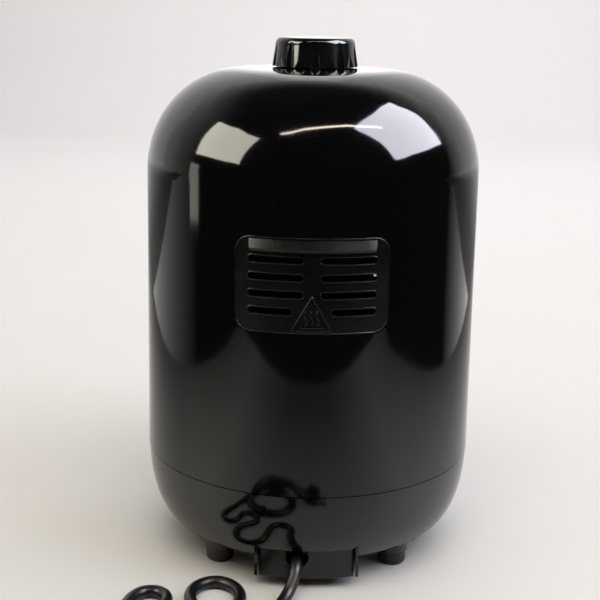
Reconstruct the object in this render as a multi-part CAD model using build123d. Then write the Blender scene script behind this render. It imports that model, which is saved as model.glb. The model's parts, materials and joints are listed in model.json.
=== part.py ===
from build123d import *
import math
import os

# Compact air fryer, millimetres. +Z is up, the drawer and its handle face -Y, the hot-air outlet
# and the mains lead are at +Y. Every piece is modelled about the body's own vertical axis, and is
# shifted along Y on export, so that the origin is below the middle of the whole appliance.

# ---- driving dimensions -----------------------------------------------------------------------
# body
BODY_R = 102.5            # outer radius of the upper shell at the seam
SEAM_Z = 62.7             # lower edge of the upper shell
SHELL_DRAFT = 1.2         # loss of radius from the seam to the shoulder
SHOULDER_Z = 237.1        # where the shoulder's curve begins
SHOULDER_A = 58.1         # shoulder ellipse, horizontal half axis
SHOULDER_B = 60.2         # shoulder ellipse, vertical half axis
CROWN_ANGLE = 2.5         # slope where the shoulder passes into the crown
SHELL_WALL = 2.5
SEAM_GAP = 0.7            # shadow gap between the two shells
LOWER_STEP = 0.4          # how far the lower shell stands inside the upper one
BOWL_A = 18.7             # lower ellipse, horizontal half axis
BOWL_B = 46.4             # lower ellipse, vertical half axis
DISH_ANGLE = 10.0         # slope where the ellipse passes into the shallow bottom
LIP_HEIGHT = 6.0          # locating lip inside the seam
LIP_WALL = 2.0
FIT = 0.2                 # clearance of a located or seated edge
GAP = 0.8                 # visible gap around the drawer front

# drawer window in the shells
WINDOW_Z0 = 22.0
WINDOW_Z1 = 150.0
WINDOW_CORNER_R = 16.0
FRONT_WALL = 3.0

# chassis: tunnel for the drawer with a deck above it
FLOOR_Z = 24.0
FLOOR_T = 2.5
TUNNEL_HALF_W = BODY_R - 26.3
WINDOW_HALF_W = TUNNEL_HALF_W + 2.6
TUNNEL_WALL = 2.5
TUNNEL_BACK_Y = BODY_R - 37.0
TUNNEL_FRONT_Y = 47.5 - BODY_R
TUNNEL_CORNER_R = 31.5
RAIL_H = 3.3
RAIL_X = 50.0
DECK_Z = 124.0
DECK_T = 2.5
DECK_R = BODY_R - 4.0
DECK_FRONT_Y = 22.5 - BODY_R
POST_R = 6.0
POST_DEG = (62.0, 140.0, 220.0, 298.0)
POST_RING_R = BODY_R - 8.0
POST_H = 18.0

# pan and basket
PAN_HALF_W = TUNNEL_HALF_W - 4.2
PAN_FRONT_Y = 24.5 - BODY_R
PAN_BACK_Y = TUNNEL_BACK_Y - 5.5
PAN_CORNER_R = 36.0
PAN_WALL = 1.2
PAN_Z0 = FLOOR_Z + FLOOR_T + RAIL_H + 0.3
PAN_Z1 = 116.0
RIM_W = 3.0
BASKET_INSET = 5.0
BASKET_WALL = 1.0
BASKET_FLOOR_Z = 36.0
HOLE_R = 3.0
HOLE_PITCH = 13.0
SIDE_SLOT_W = 3.0
SIDE_SLOT_H = 22.0

# handle
HANDLE_REACH = BODY_R + 54.0
HANDLE_HALF_W = 17.0
HANDLE_TOP_Z = 147.0
HANDLE_ARM_T = 21.0
GRIP_T = 22.5
GRIP_BOTTOM_Z = 62.0
STEM_Z0 = 92.0
STEM_BACK_Y = 16.5 - BODY_R
STEM_FRONT_Y = 1.5 - BODY_R
HANDLE_EDGE_R = 3.0
BUTTON_TRAVEL = 4.0
BUTTON_Y = -BODY_R - 16.5
BUTTON_L = 18.0
BUTTON_HALF_W = 7.5
BUTTON_H = 11.0
BUTTON_PROUD = 2.5
LATCH_PIN_Y = 8.5 - BODY_R
LATCH_PIN_Z = 128.0
LATCH_PIN_R = 1.5
GUARD_T = 1.6
GUARD_L = 24.0
GUARD_Y = BUTTON_Y

# heating and air
DISH_H = 25.0
DISH_EDGE_R = 6.0
SHEET = 0.8
FLANGE_R = BODY_R - 20.5
DISH_R = FLANGE_R - 14.0
ELEMENT_R_OUT = DISH_R - 10.0
ELEMENT_R_IN = ELEMENT_R_OUT - 14.0
ELEMENT_TUBE_R = 3.2
ELEMENT_Z = 133.0
ELEMENT_START_DEG = 115.0
ELEMENT_SWEEP_DEG = 310.0
LEG_BEND_R = 7.0
FAN_R = 38.0
FAN_Z0 = 141.0
FAN_Z1 = 149.0
BLADES = 8
SHAFT_R = 3.0
RUN_FIT = 0.05            # radial running clearance of shafts
MOTOR_Z0 = 176.0
STACK_H = 20.0
ROTOR_R = 15.0
AIR_GAP = 0.4
COOLER_R = 38.0
COOLER_Z = 213.0
BRACKET_Z = 158.0
DUCT_HALF_W = 34.0
DUCT_Y0 = DISH_R + 3.0
DUCT_WALL = 1.6

# hot-air outlet
VENT_HALF_W = 43.0
VENT_Z0 = 158.5
VENT_Z1 = 212.5
VENT_CORNER_R = 9.0
VENT_INSET = 0.5
VENT_T = 2.6
SLOT_H = 3.6
SLOT_X0 = 4.8
SLOT_X1 = 35.3
SHORT_SLOT_X0 = 11.0
SLOT_TOP_Z = 199.8
SLOT_PITCH = 9.6
SLOT_ROWS = 4
HOOD_HALF_W = 35.0
HOOD_Z0 = 204.6
HOOD_Z1 = 211.2
HOOD_REACH = 2.6
SYMBOL_TOP_Z = 180.0
SYMBOL_BASE_Z = 159.9
SYMBOL_HALF_W = 11.6
RELIEF = 0.35
RELIEF_W = 0.9

# controls
KNOB_R = 26.0
KNOB_H = 17.3
KNOB_TAPER = 2.0
KNOB_EDGE_R = 5.0
KNOB_GROOVES = 10
KNOB_GROOVE_W = 5.0
KNOB_GAP = 0.4
TIMER_Z = 205.0
TIMER_KNOB_R = 24.0
TIMER_KNOB_H = 16.0
BEZEL_R = 36.0
BEZEL_FACE_Y = -BODY_R - 2.0
LENS_R = 3.0
LENS_RING_R = 29.0
LENS_DEG = 24.0

PLUNGER_R = 1.5
PLUNGER_X = 22.0
PLUNGER_Z = 95.0

# feet and cord exit
FOOT_X = 0.52 * BODY_R
FOOT_Y = FOOT_X - 1.3
FOOT_R = 8.5
FOOT_H = 8.6
FOOT_EDGE_R = 2.2
SCREW_R = 2.0
BRACKET_R = BODY_R - 10.0
BRACKET_HALF_W = 28.0
BRACKET_Z0 = 7.0
BRACKET_Z1 = 25.4
BRACKET_WALL = 2.2
FLANGE_GAP = 0.9
FLANGE_T = 1.8
FLANGE_REACH = 3.6        # how far the ribs beside the bracket stand in front of it
FLANGE_RISE = 1.6
CORD_X = 5.5
CORD_EXIT_Z = 18.2
NOTCH_W = 13.8
NOTCH_Z0 = 14.0
CORD_D = 7.2
GLAND_Y0 = BRACKET_R - 14.5
GLAND_Y1 = GLAND_Y0 + 6.0

# mains lead: X from the body's axis, Y from the bracket's face; the last point meets the coil
CORD_ROUTE = [
    (5.5, -13.5, 18.2), (5.5, -4.5, 18.2), (5.8, 4.5, 17.0), (7.6, 10.5, 10.5),
    (10.6, 16.0, 5.2), (14.2, 24.0, 3.6), (16.0, 32.5, 3.6), (15.4, 41.1, 3.6),
    (21.6, 48.5, 3.6), (31.4, 49.1, 3.6), (39.0, 41.7, 3.6), (38.4, 27.5, 3.6),
    (37.4, 13.5, 3.6), (43.0, 3.1, 3.6), (53.0, -1.9, 3.6), (62.8, 2.9, 3.6), (67.2, 13.0, 3.6),
    (65.6, 24.5, 3.6), (59.6, 34.5, 3.6), (59.8, 44.5, 3.6), (66.6, 51.5, 3.6),
    (76.4, 51.1, 3.6), (82.6, 43.9, 3.6), (82.2, 34.5, 3.6), (79.4, 26.1, 3.6),
    (79.9, 17.1, 3.6), (86.0, 11.5, 3.6), (94.4, 12.3, 3.6), (99.6, 19.1, 3.6),
    (101.8, 28.5, 3.6), (104.4, 41.5, 3.6), (107.2, 58.5, 3.9), (109.0, 76.5, 4.6),
]
COIL_X = 66.0             # middle of the put-away coil
COIL_Y = BRACKET_R + 104.5
COIL_R = 40.0
COIL_LIFT = 1.0
TAIL_ROUTE = [
    (103.6, 118.2, 12.3), (96.5, 130.5, 12.3), (85.3, 140.3, 12.3), (72.0, 145.1, 12.3),
    (58.0, 146.7, 12.3), (45.0, 148.1, 12.2), (33.0, 148.5, 11.6), (22.5, 145.5, 9.8),
    (13.0, 140.5, 9.3),
]
PLUG_L = 38.0


# ---- small helpers ----------------------------------------------------------------------------
def cylinder(radius, z0, z1, x=0.0, y=0.0):
    return Pos(x, y, z0) * Cylinder(radius, z1 - z0, align=(Align.CENTER, Align.CENTER, Align.MIN))


def cylinder_y(radius, y0, y1, x=0.0, z=0.0):
    return Pos(x, y0, z) * Rot(-90, 0, 0) * Cylinder(
        radius, y1 - y0, align=(Align.CENTER, Align.CENTER, Align.MIN))


def cylinder_x(radius, x0, x1, y=0.0, z=0.0):
    return Pos(x0, y, z) * Rot(0, 90, 0) * Cylinder(
        radius, x1 - x0, align=(Align.CENTER, Align.CENTER, Align.MIN))


def block(x0, x1, y0, y1, z0, z1):
    return Pos((x0 + x1) / 2, (y0 + y1) / 2, (z0 + z1) / 2) * Box(x1 - x0, y1 - y0, z1 - z0)


def rounded_prism(half_w, y0, y1, corner_r, z0, z1):
    outline = Pos(0, (y0 + y1) / 2, z0) * RectangleRounded(2 * half_w, y1 - y0, corner_r)
    return extrude(outline, z1 - z0)


def window_prism(half_w, z0, z1, corner_r, y0, y1):
    outline = Plane.XZ * Pos(0, (z0 + z1) / 2) * RectangleRounded(2 * half_w, z1 - z0, corner_r)
    return Pos(0, y0, 0) * extrude(outline, -(y1 - y0))


def ring(outer_r, inner_r, z0, z1):
    return cylinder(outer_r, z0, z1) - cylinder(inner_r, z0 - 1, z1 + 1)


def outlet_layer(sketch, outer_inset, inner_inset):
    """A sketch in X and Z, pressed into the layer of the upper shell between two insets."""
    stamp = Pos(0, BODY_R + 5, 0) * extrude(Plane.XZ * sketch, 30, dir=(0, -1, 0))
    return stamp & (upper_body(outer_inset) - upper_body(inner_inset))


def sweep_round(path, radius):
    start = Plane(origin=path @ 0, z_dir=path % 0)
    return sweep(start * Circle(radius), path=path)


# ---- body of revolution -----------------------------------------------------------------------
def dome_edges(centre_r, centre_z, half_r, half_z, tip_angle, up):
    """Quarter-ellipse shoulder and the shallow arc that closes it at the axis, in X and Z."""
    turn = math.atan2(half_z, half_r * math.tan(math.radians(tip_angle)))
    end_r = centre_r + half_r * math.cos(turn)
    end_z = centre_z + up * half_z * math.sin(turn)
    middle = turn / 2
    mid_r = centre_r + half_r * math.cos(middle)
    mid_z = centre_z + up * half_z * math.sin(middle)
    tip_z = end_z + up * end_r * math.tan(math.radians(tip_angle) / 2)
    shoulder = EllipticalCenterArc((centre_r, centre_z), half_r, half_z,
                                   start_angle=0, arc_size=up * math.degrees(turn))
    if (shoulder @ 0.5 - Vector(mid_r, mid_z)).length > half_z:
        raise ValueError("shoulder runs the wrong way")
    tip = TangentArc(shoulder @ 1, (0, tip_z), tangent=shoulder % 1)
    return shoulder, tip, tip_z


def revolve_outline(edges):
    face = make_face(Plane.XZ * Curve(edges))
    return revolve(face, axis=Axis.Z)


def upper_body(inset, bottom_z=SEAM_Z):
    """Everything inside the upper shell's outer surface, moved in by the inset."""
    low_r = BODY_R - inset
    high_r = BODY_R - SHELL_DRAFT - inset
    centre_r = BODY_R - SHELL_DRAFT - SHOULDER_A
    shoulder, tip, tip_z = dome_edges(centre_r, SHOULDER_Z, SHOULDER_A - inset,
                                      SHOULDER_B - inset, CROWN_ANGLE, 1)
    slope = SHELL_DRAFT / (SHOULDER_Z - SEAM_Z)
    bottom_r = low_r + slope * (SEAM_Z - bottom_z)
    side = Line((bottom_r, bottom_z), (high_r, SHOULDER_Z))
    return revolve_outline([Line((0, bottom_z), (bottom_r, bottom_z)), side, shoulder, tip,
                            Line((0, tip_z), (0, bottom_z))])


def lower_body(inset, top_z=SEAM_Z - SEAM_GAP):
    """Everything inside the lower shell's outer surface, moved in by the inset."""
    top_r = BODY_R - LOWER_STEP - inset
    centre_r = BODY_R - LOWER_STEP - BOWL_A
    centre_z = SEAM_Z - SEAM_GAP
    bowl, tip, tip_z = dome_edges(centre_r, centre_z, BOWL_A - inset, BOWL_B - inset,
                                  DISH_ANGLE, -1)
    edges = [bowl, tip, Line((0, tip_z), (0, top_z)), Line((0, top_z), (top_r, top_z))]
    if top_z > centre_z:
        edges.append(Line((top_r, top_z), (top_r, centre_z)))
    return revolve_outline(edges)


def window(clearance, y1=TUNNEL_FRONT_Y):
    return window_prism(WINDOW_HALF_W - clearance, WINDOW_Z0 + clearance, WINDOW_Z1 - clearance,
                        WINDOW_CORNER_R - clearance, -BODY_R - 10, y1)


def vent_window(grow, y0=60.0):
    return window_prism(VENT_HALF_W + grow, VENT_Z0 - grow, VENT_Z1 + grow,
                        VENT_CORNER_R + grow, y0, BODY_R + 10)


def corners():
    return [(sx * FOOT_X, sy * FOOT_Y) for sx in (-1, 1) for sy in (-1, 1)]


def posts():
    return [(POST_RING_R * math.sin(math.radians(a)), -POST_RING_R * math.cos(math.radians(a)))
            for a in POST_DEG]


# ---- shells -----------------------------------------------------------------------------------
THERMO_SCREW_X = 21.5
THERMO_TOP_Z = 287.2


def upper_shell():
    shell = upper_body(0) - upper_body(SHELL_WALL, SEAM_Z - 5)
    for x, y in posts():
        shell += cylinder(POST_R, DECK_Z + DECK_T, DECK_Z + DECK_T + POST_H, x, y) \
            & upper_body(SHELL_WALL / 2)
    for sx in (-1, 1):
        shell += cylinder(4, THERMO_TOP_Z, crown_top() - SHELL_WALL / 2, sx * THERMO_SCREW_X)
    shell -= window(0)
    shell -= vent_window(0.4)
    shell -= cylinder_y(BEZEL_R + FIT, -BODY_R - 10, -60, 0, TIMER_Z)
    shell -= cylinder(6.5, 280, 310)
    for x, y in posts():
        shell -= cylinder(SCREW_R, DECK_Z, DECK_Z + DECK_T + 12, x, y)
    for sx in (-1, 1):
        shell -= cylinder(1.5, THERMO_TOP_Z - 1, THERMO_TOP_Z + 6, sx * THERMO_SCREW_X)
    return shell


def foot_slots():
    """Slanted slots through the bowl's wall, one outwards of each foot."""
    cuts = []
    angle = math.degrees(math.atan2(FOOT_Y, FOOT_X))
    for turn in (angle, 180 - angle, 180 + angle, -angle):
        slot = Plane.YZ * Pos(0, 17.6) * SlotOverall(6.4, 3.8, 90)
        cuts.append(Rot(0, 0, turn) * Pos(84, 0, 0) * extrude(slot, 12))
    return cuts


def lower_shell():
    top_z = SEAM_Z - SEAM_GAP
    shell = lower_body(0) - lower_body(SHELL_WALL, SEAM_Z + 5)
    lip_r = BODY_R - SHELL_WALL - FIT
    shell += ring(lip_r, lip_r - LIP_WALL, top_z - 4, SEAM_Z + LIP_HEIGHT) \
        - ring(BODY_R + 5, lip_r, top_z, SEAM_Z + LIP_HEIGHT + 1)
    for x, y in corners():
        shell += cylinder(FOOT_R + 0.9, FOOT_H, 16, x, y)
    for sx in (-1, 1):
        outer_x = sx * (BRACKET_HALF_W + FLANGE_GAP + FLANGE_T)
        inner_x = sx * (BRACKET_HALF_W + FLANGE_GAP)
        rib = block(min(outer_x, inner_x), max(outer_x, inner_x), 60, BODY_R,
                    BRACKET_Z0 + 1.2, BRACKET_Z1 + FLANGE_RISE)
        shell += (rib & cylinder(BRACKET_R + FLANGE_REACH, 0, SEAM_Z)) - lower_body(SHELL_WALL / 2)
    recess = block(-BRACKET_HALF_W - 0.2, BRACKET_HALF_W + 0.2, 58, BODY_R + 5,
                   BRACKET_Z0 - 5, BRACKET_Z1 + 0.3)
    shell -= recess - cylinder(BRACKET_R - BRACKET_WALL - 0.1, 0, 60)
    for x, y in corners():
        shell -= cylinder(SCREW_R, 0, 20, x, y)
    for cut in foot_slots():
        shell -= cut
    shell -= cylinder_y(NOTCH_W / 2, 70, BODY_R, CORD_X, CORD_EXIT_Z)
    for k in range(12):
        vent = Pos(34, 0, 4) * extrude(SlotOverall(16, 3.5), 12)
        shell -= Rot(0, 0, 30 * k) * vent
    shell -= window(0)
    return shell


def cord_bracket():
    """Cover of the cord entry: a curved face between two flanges of the bowl, open above."""
    inner_r = BRACKET_R - BRACKET_WALL
    outer = block(-BRACKET_HALF_W, BRACKET_HALF_W, 58, BODY_R, BRACKET_Z0, BRACKET_Z1)
    cavity = block(-BRACKET_HALF_W + BRACKET_WALL, BRACKET_HALF_W - BRACKET_WALL, 60, BODY_R,
                   BRACKET_Z0 + BRACKET_WALL, BRACKET_Z1 + 1) & cylinder(inner_r, 0, 60)
    cover = (outer & cylinder(BRACKET_R, 0, 60)) - cavity
    cover -= lower_body(-0.05) & cylinder(inner_r, 0, 60)
    notch = cylinder_y(NOTCH_W / 2, 80, BODY_R, CORD_X, NOTCH_Z0 + NOTCH_W / 2)
    notch += block(CORD_X - NOTCH_W / 2, CORD_X + NOTCH_W / 2, 80, BODY_R,
                   NOTCH_Z0 + NOTCH_W / 2, BRACKET_Z1 + 2)
    return cover - notch


def strain_relief():
    bush = cylinder_y(NOTCH_W / 2 - 0.3, GLAND_Y0, GLAND_Y1, CORD_X, CORD_EXIT_Z)
    return bush - cylinder_y(CORD_D / 2 + RUN_FIT, GLAND_Y0 - 1, GLAND_Y1 + 1, CORD_X, CORD_EXIT_Z)


def rubber_feet():
    solids = []
    for x, y in corners():
        foot = cylinder(FOOT_R, 0, FOOT_H, x, y)
        foot = fillet(foot.edges().group_by(Axis.Z)[0], FOOT_EDGE_R)
        foot -= cylinder(3.9, -1, 2.6, x, y)
        solids.append(foot - cylinder(SCREW_R, -1, FOOT_H + 1, x, y))
    return Compound(solids)


def foot_screws():
    return [cylinder(3.7, 0.8, 2.6, x, y) + cylinder(SCREW_R - 0.1, 2.6, FLOOR_Z - 1, x, y)
            for x, y in corners()]


# ---- chassis ----------------------------------------------------------------------------------
def tunnel_prism(grow, z0, z1):
    """The drawer's tunnel: straight sides, rounded rear corners, running out at the front."""
    return rounded_prism(TUNNEL_HALF_W + grow, -120, TUNNEL_BACK_Y + grow,
                         TUNNEL_CORNER_R + grow, z0, z1)


def chassis():
    floor_top = FLOOR_Z + FLOOR_T
    walls = tunnel_prism(TUNNEL_WALL, FLOOR_Z, DECK_Z) - tunnel_prism(0, floor_top, DECK_Z + 1)
    walls &= lower_body(SHELL_WALL + 0.5) + cylinder(BODY_R, SEAM_Z - SEAM_GAP, DECK_Z)
    walls &= cylinder(BODY_R - SHELL_WALL - LIP_WALL - 1, FLOOR_Z, DECK_Z)
    walls -= block(-200, 200, -200, TUNNEL_FRONT_Y, floor_top, DECK_Z + 1)
    deck = ring(DECK_R, DISH_R + FIT, DECK_Z, DECK_Z + DECK_T)
    deck -= block(-200, 200, -200, DECK_FRONT_Y, DECK_Z - 1, DECK_Z + DECK_T + 1)
    frame = walls + deck
    for sx in (-1, 1):
        frame += block(sx * RAIL_X - 1.5, sx * RAIL_X + 1.5, TUNNEL_FRONT_Y, 55,
                       floor_top, floor_top + RAIL_H)
    for x, y in corners():
        frame += cylinder(5, 16.2, FLOOR_Z, x, y) & lower_body(SHELL_WALL + 0.3)
    for x, y in posts():
        frame -= cylinder(SCREW_R + FIT, DECK_Z - 1, DECK_Z + DECK_T + 1, x, y)
    for x, y in corners():
        frame -= cylinder(SCREW_R, 10, FLOOR_Z + 1, x, y)
    return frame - cylinder_y(PLUNGER_R + 0.3, 60, 75, PLUNGER_X, PLUNGER_Z)


def deck_screws():
    return [cylinder(3.6, DECK_Z - 2.2, DECK_Z, x, y)
            + cylinder(SCREW_R - 0.1, DECK_Z, DECK_Z + DECK_T + 11, x, y) for x, y in posts()]


def housing_screws():
    return Compound(foot_screws() + deck_screws() + thermostat_screws())


# ---- drawer -----------------------------------------------------------------------------------
def pan():
    outer = rounded_prism(PAN_HALF_W, PAN_FRONT_Y, PAN_BACK_Y, PAN_CORNER_R, PAN_Z0, PAN_Z1)
    inner = rounded_prism(PAN_HALF_W - PAN_WALL, PAN_FRONT_Y + PAN_WALL, PAN_BACK_Y - PAN_WALL,
                          PAN_CORNER_R - PAN_WALL, PAN_Z0 + PAN_WALL, PAN_Z1 + 5)
    rim = rounded_prism(PAN_HALF_W + RIM_W, PAN_FRONT_Y - RIM_W, PAN_BACK_Y + RIM_W,
                        PAN_CORNER_R + RIM_W, PAN_Z1, PAN_Z1 + PAN_WALL)
    body = outer + rim - inner
    for x, z in front_screw_places():
        body -= cylinder_y(1.9, PAN_FRONT_Y - 1, PAN_FRONT_Y + 5, x, z)
    return body


def basket():
    half_w = PAN_HALF_W - BASKET_INSET
    y0 = PAN_FRONT_Y + BASKET_INSET
    y1 = PAN_BACK_Y - BASKET_INSET
    corner_r = PAN_CORNER_R - BASKET_INSET
    top_z = PAN_Z1 + PAN_WALL
    outer = rounded_prism(half_w, y0, y1, corner_r, BASKET_FLOOR_Z, top_z)
    rim = rounded_prism(half_w + 6.5, y0 - 6.5, y1 + 6.5, corner_r + 6.5, top_z, top_z + BASKET_WALL)
    inner = rounded_prism(half_w - BASKET_WALL, y0 + BASKET_WALL, y1 - BASKET_WALL,
                          corner_r - BASKET_WALL, BASKET_FLOOR_Z + BASKET_WALL, top_z + 5)
    body = outer + rim - inner
    middle_y = (y0 + y1) / 2
    holes = []
    for i in range(-4, 5):
        for j in range(-4, 5):
            if math.hypot(i, j) < 4.6:
                holes.append(cylinder(HOLE_R, BASKET_FLOOR_Z - 1, BASKET_FLOOR_Z + 3,
                                      i * HOLE_PITCH, middle_y + j * HOLE_PITCH))
    for row_z in (58.0, 88.0):
        for i in range(-3, 4):
            slot = Plane.YZ * Pos(middle_y + i * 10, row_z) * SlotOverall(SIDE_SLOT_H, SIDE_SLOT_W, 90)
            holes.append(Pos(-half_w - 5, 0, 0) * extrude(slot, 2 * half_w + 10))
            back = Plane.XZ * Pos(i * 10, row_z) * SlotOverall(SIDE_SLOT_H, SIDE_SLOT_W, 90)
            holes.append(Pos(0, y1 + 5, 0) * extrude(back, 10))
    return body - holes


def front_screw_places():
    return [(sx * 30.0, z) for sx in (-1, 1) for z in (48.0, 100.0)]


def front_body(inset):
    """Outer surface of the drawer front: the lower shell's bowl, carried on upwards."""
    base_r = BODY_R - LOWER_STEP
    top_z = WINDOW_Z1 + 5
    seam_z = SEAM_Z - SEAM_GAP
    slope = SHELL_DRAFT / (SHOULDER_Z - SEAM_Z)
    low_r = base_r - inset
    high_r = low_r - slope * (top_z - seam_z)
    flank = revolve_outline([Line((0, seam_z), (low_r, seam_z)), Line((low_r, seam_z), (high_r, top_z)),
                             Line((high_r, top_z), (0, top_z)), Line((0, top_z), (0, seam_z))])
    return flank + lower_body(inset)


def drawer_front():
    skin = (front_body(0) - front_body(FRONT_WALL)) & window(GAP)
    for x, z in front_screw_places():
        skin += cylinder_y(4, -BODY_R, PAN_FRONT_Y - 1.2, x, z) & front_body(FRONT_WALL / 2)
    catch = block(-12, 12, -BODY_R, LATCH_PIN_Y + 11, 88, 91) & front_body(FRONT_WALL / 2)
    skin += catch
    half_slot = HANDLE_HALF_W + 0.4
    skin -= block(-half_slot, half_slot, -BODY_R - 5, LATCH_PIN_Y + 14, STEM_Z0 - 0.4, WINDOW_Z1 + 5)
    skin -= block(-4.5, 4.5, LATCH_PIN_Y - 1.6, LATCH_PIN_Y + 9.5, 80, 95)
    for x, z in front_screw_places():
        skin -= cylinder_y(1.7, PAN_FRONT_Y - 8, PAN_FRONT_Y, x, z)
    return skin


def drawer_back_plate():
    plate = window_prism(50, 38, 110, 10, PAN_FRONT_Y - 1.2, PAN_FRONT_Y)
    for x, z in front_screw_places():
        plate -= cylinder_y(1.9, PAN_FRONT_Y - 5, PAN_FRONT_Y + 1, x, z)
    return plate


def drawer_screws():
    front = [cylinder_y(3.4, PAN_FRONT_Y + PAN_WALL, PAN_FRONT_Y + PAN_WALL + 1.8, x, z)
             + cylinder_y(1.6, PAN_FRONT_Y - 7, PAN_FRONT_Y + PAN_WALL, x, z)
             for x, z in front_screw_places()]
    handle = [cylinder_x(3.0, 12, 14, y, z) + cylinder_x(1.5, -11.5, 12, y, z)
              for y, z in HANDLE_SCREWS]
    return Compound(front + handle)


def basket_bracket():
    front_y = STEM_BACK_Y
    rim_top = PAN_Z1 + PAN_WALL + BASKET_WALL
    inside_y = PAN_FRONT_Y + BASKET_INSET + BASKET_WALL
    strap = block(-14, 14, front_y, inside_y + 1.5, rim_top, rim_top + 1.5)
    strap += block(-14, 14, front_y, front_y + 1.5, STEM_Z0 + 4, rim_top)
    strap += block(-14, 14, inside_y, inside_y + 1.5, rim_top - 20, rim_top)
    return strap


# ---- handle -----------------------------------------------------------------------------------
BUTTON_TOP_Z = HANDLE_TOP_Z + BUTTON_PROUD
BUTTON_BOTTOM_Z = BUTTON_TOP_Z - BUTTON_H
POCKET_Z = BUTTON_BOTTOM_Z - 7.5
HANDLE_SCREWS = [(10.5 - HANDLE_REACH, z) for z in (136.0, 84.0)]


def handle_outline():
    arm_z = HANDLE_TOP_Z - HANDLE_ARM_T
    grip_y = -HANDLE_REACH + GRIP_T
    points = [(STEM_BACK_Y, STEM_Z0), (STEM_BACK_Y, HANDLE_TOP_Z), (-HANDLE_REACH + 5, HANDLE_TOP_Z),
              (-HANDLE_REACH, HANDLE_TOP_Z - 8), (-HANDLE_REACH + 1.5, GRIP_BOTTOM_Z + 4),
              (-HANDLE_REACH + 5.5, GRIP_BOTTOM_Z), (grip_y - 3, GRIP_BOTTOM_Z + 1),
              (grip_y, GRIP_BOTTOM_Z + 5), (grip_y - 1, arm_z - 9), (grip_y + 8, arm_z),
              (STEM_FRONT_Y - 8, arm_z), (STEM_FRONT_Y, arm_z - 8), (STEM_FRONT_Y, STEM_Z0)]
    return make_face(Plane.YZ * Polyline(points, close=True))


def handle_half(side):
    body = extrude(handle_outline(), HANDLE_HALF_W, dir=(side, 0, 0))
    outer = body.faces().sort_by(Axis.X)[-1 if side > 0 else 0]
    body = fillet(outer.edges(), HANDLE_EDGE_R)
    clear = 0.3
    well = block(-BUTTON_HALF_W - clear, BUTTON_HALF_W + clear, BUTTON_Y - BUTTON_L / 2 - clear,
                 BUTTON_Y + BUTTON_L / 2 + clear, BUTTON_BOTTOM_Z - BUTTON_TRAVEL - 0.5, HANDLE_TOP_Z + 1)
    spring_well = cylinder(3.4, POCKET_Z, BUTTON_BOTTOM_Z, 0, BUTTON_Y - 5.2)
    finger = block(-4, 4, BUTTON_Y - 3, LATCH_PIN_Y + 2, LATCH_PIN_Z - 4, BUTTON_BOTTOM_Z - 0.1)
    tail = block(-4, 4, LATCH_PIN_Y - 4, STEM_BACK_Y + 1, STEM_Z0 - 1, LATCH_PIN_Z + 6)
    body = body - well - spring_well - finger - tail
    body -= cylinder_x(LATCH_PIN_R, -14, 14, LATCH_PIN_Y, LATCH_PIN_Z)
    for y, z in HANDLE_SCREWS:
        body -= cylinder_x(1.6, -12, 12, y, z)
        body -= cylinder_x(3.1, 12, 20, y, z)
    groove = side * HANDLE_HALF_W
    groove_in = side * (HANDLE_HALF_W - 1.6)
    body -= block(min(groove, groove_in), max(groove, groove_in), 2.5 - HANDLE_REACH,
                  STEM_FRONT_Y - 3.5, 139.5, 141.9)
    return body


def latch_pin():
    return cylinder_x(LATCH_PIN_R, -13.5, 13.5, LATCH_PIN_Y, LATCH_PIN_Z)


def release_latch():
    tip_z = BUTTON_BOTTOM_Z - 0.3
    py, pz = LATCH_PIN_Y, LATCH_PIN_Z
    arm = Polyline([(py - 1.5, pz - 2.5), (BUTTON_Y, tip_z - 2.2), (BUTTON_Y, tip_z),
                    (BUTTON_Y + 3.5, tip_z), (py - 1.0, pz + 2.7), (py + 1.6, pz + 2.0),
                    (py + 1.6, 84.6), (py - 3.6, 84.6), (py - 3.6, 87.0), (py - 1.0, 87.6), (py - 1.0, pz - 3.5)], close=True)
    lever = Pos(-3, 0, 0) * extrude(make_face(Plane.YZ * arm), 6, dir=(1, 0, 0))
    lever += cylinder_x(3.2, -3, 3, py, pz)
    return lever - cylinder_x(LATCH_PIN_R + RUN_FIT, -5, 5, py, pz)


def release_button():
    cap = block(-BUTTON_HALF_W, BUTTON_HALF_W, BUTTON_Y - BUTTON_L / 2, BUTTON_Y + BUTTON_L / 2,
                BUTTON_BOTTOM_Z, BUTTON_TOP_Z)
    cap = fillet(cap.edges().filter_by(Axis.Z), 3)
    return fillet(cap.edges().group_by(Axis.Z)[-1], 1.2)


def button_spring():
    height = BUTTON_BOTTOM_Z - POCKET_Z
    wire_r = 0.35
    path = Helix(pitch=1.45, height=height - 2 * wire_r, radius=2.4)
    coil = sweep_round(path, wire_r)
    return Pos(0, BUTTON_Y - 5.2, POCKET_Z + wire_r) * coil


def button_guard():
    clear = 0.4
    y0 = GUARD_Y - GUARD_L / 2
    y1 = GUARD_Y + GUARD_L / 2
    inner_x = HANDLE_HALF_W + 0.3
    outer_x = inner_x + GUARD_T
    top_z = BUTTON_TOP_Z + clear
    guard = block(-outer_x, outer_x, y0, y1, top_z, top_z + GUARD_T)
    for sx in (-1, 1):
        guard += block(min(sx * inner_x, sx * outer_x), max(sx * inner_x, sx * outer_x),
                       y0, y1, 139.8, top_z + GUARD_T)
        lip_x = HANDLE_HALF_W - 1.3
        guard += block(min(sx * lip_x, sx * outer_x), max(sx * lip_x, sx * outer_x),
                       y0, y1, 139.8, 141.6)
    guard = fillet(guard.edges().filter_by(Axis.Y).group_by(Axis.Z)[-1], 1.5)
    return guard


# ---- heating and air --------------------------------------------------------------------------
FLANGE_Z = DECK_Z + DECK_T
DISH_TOP_Z = FLANGE_Z + DISH_H
BULB_X = -44.0
BULB_Y = 34.0


def element_angles():
    start = ELEMENT_START_DEG
    return start, start + ELEMENT_SWEEP_DEG


def polar(radius, degrees, z=0.0):
    return (radius * math.cos(math.radians(degrees)), radius * math.sin(math.radians(degrees)), z)


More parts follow.
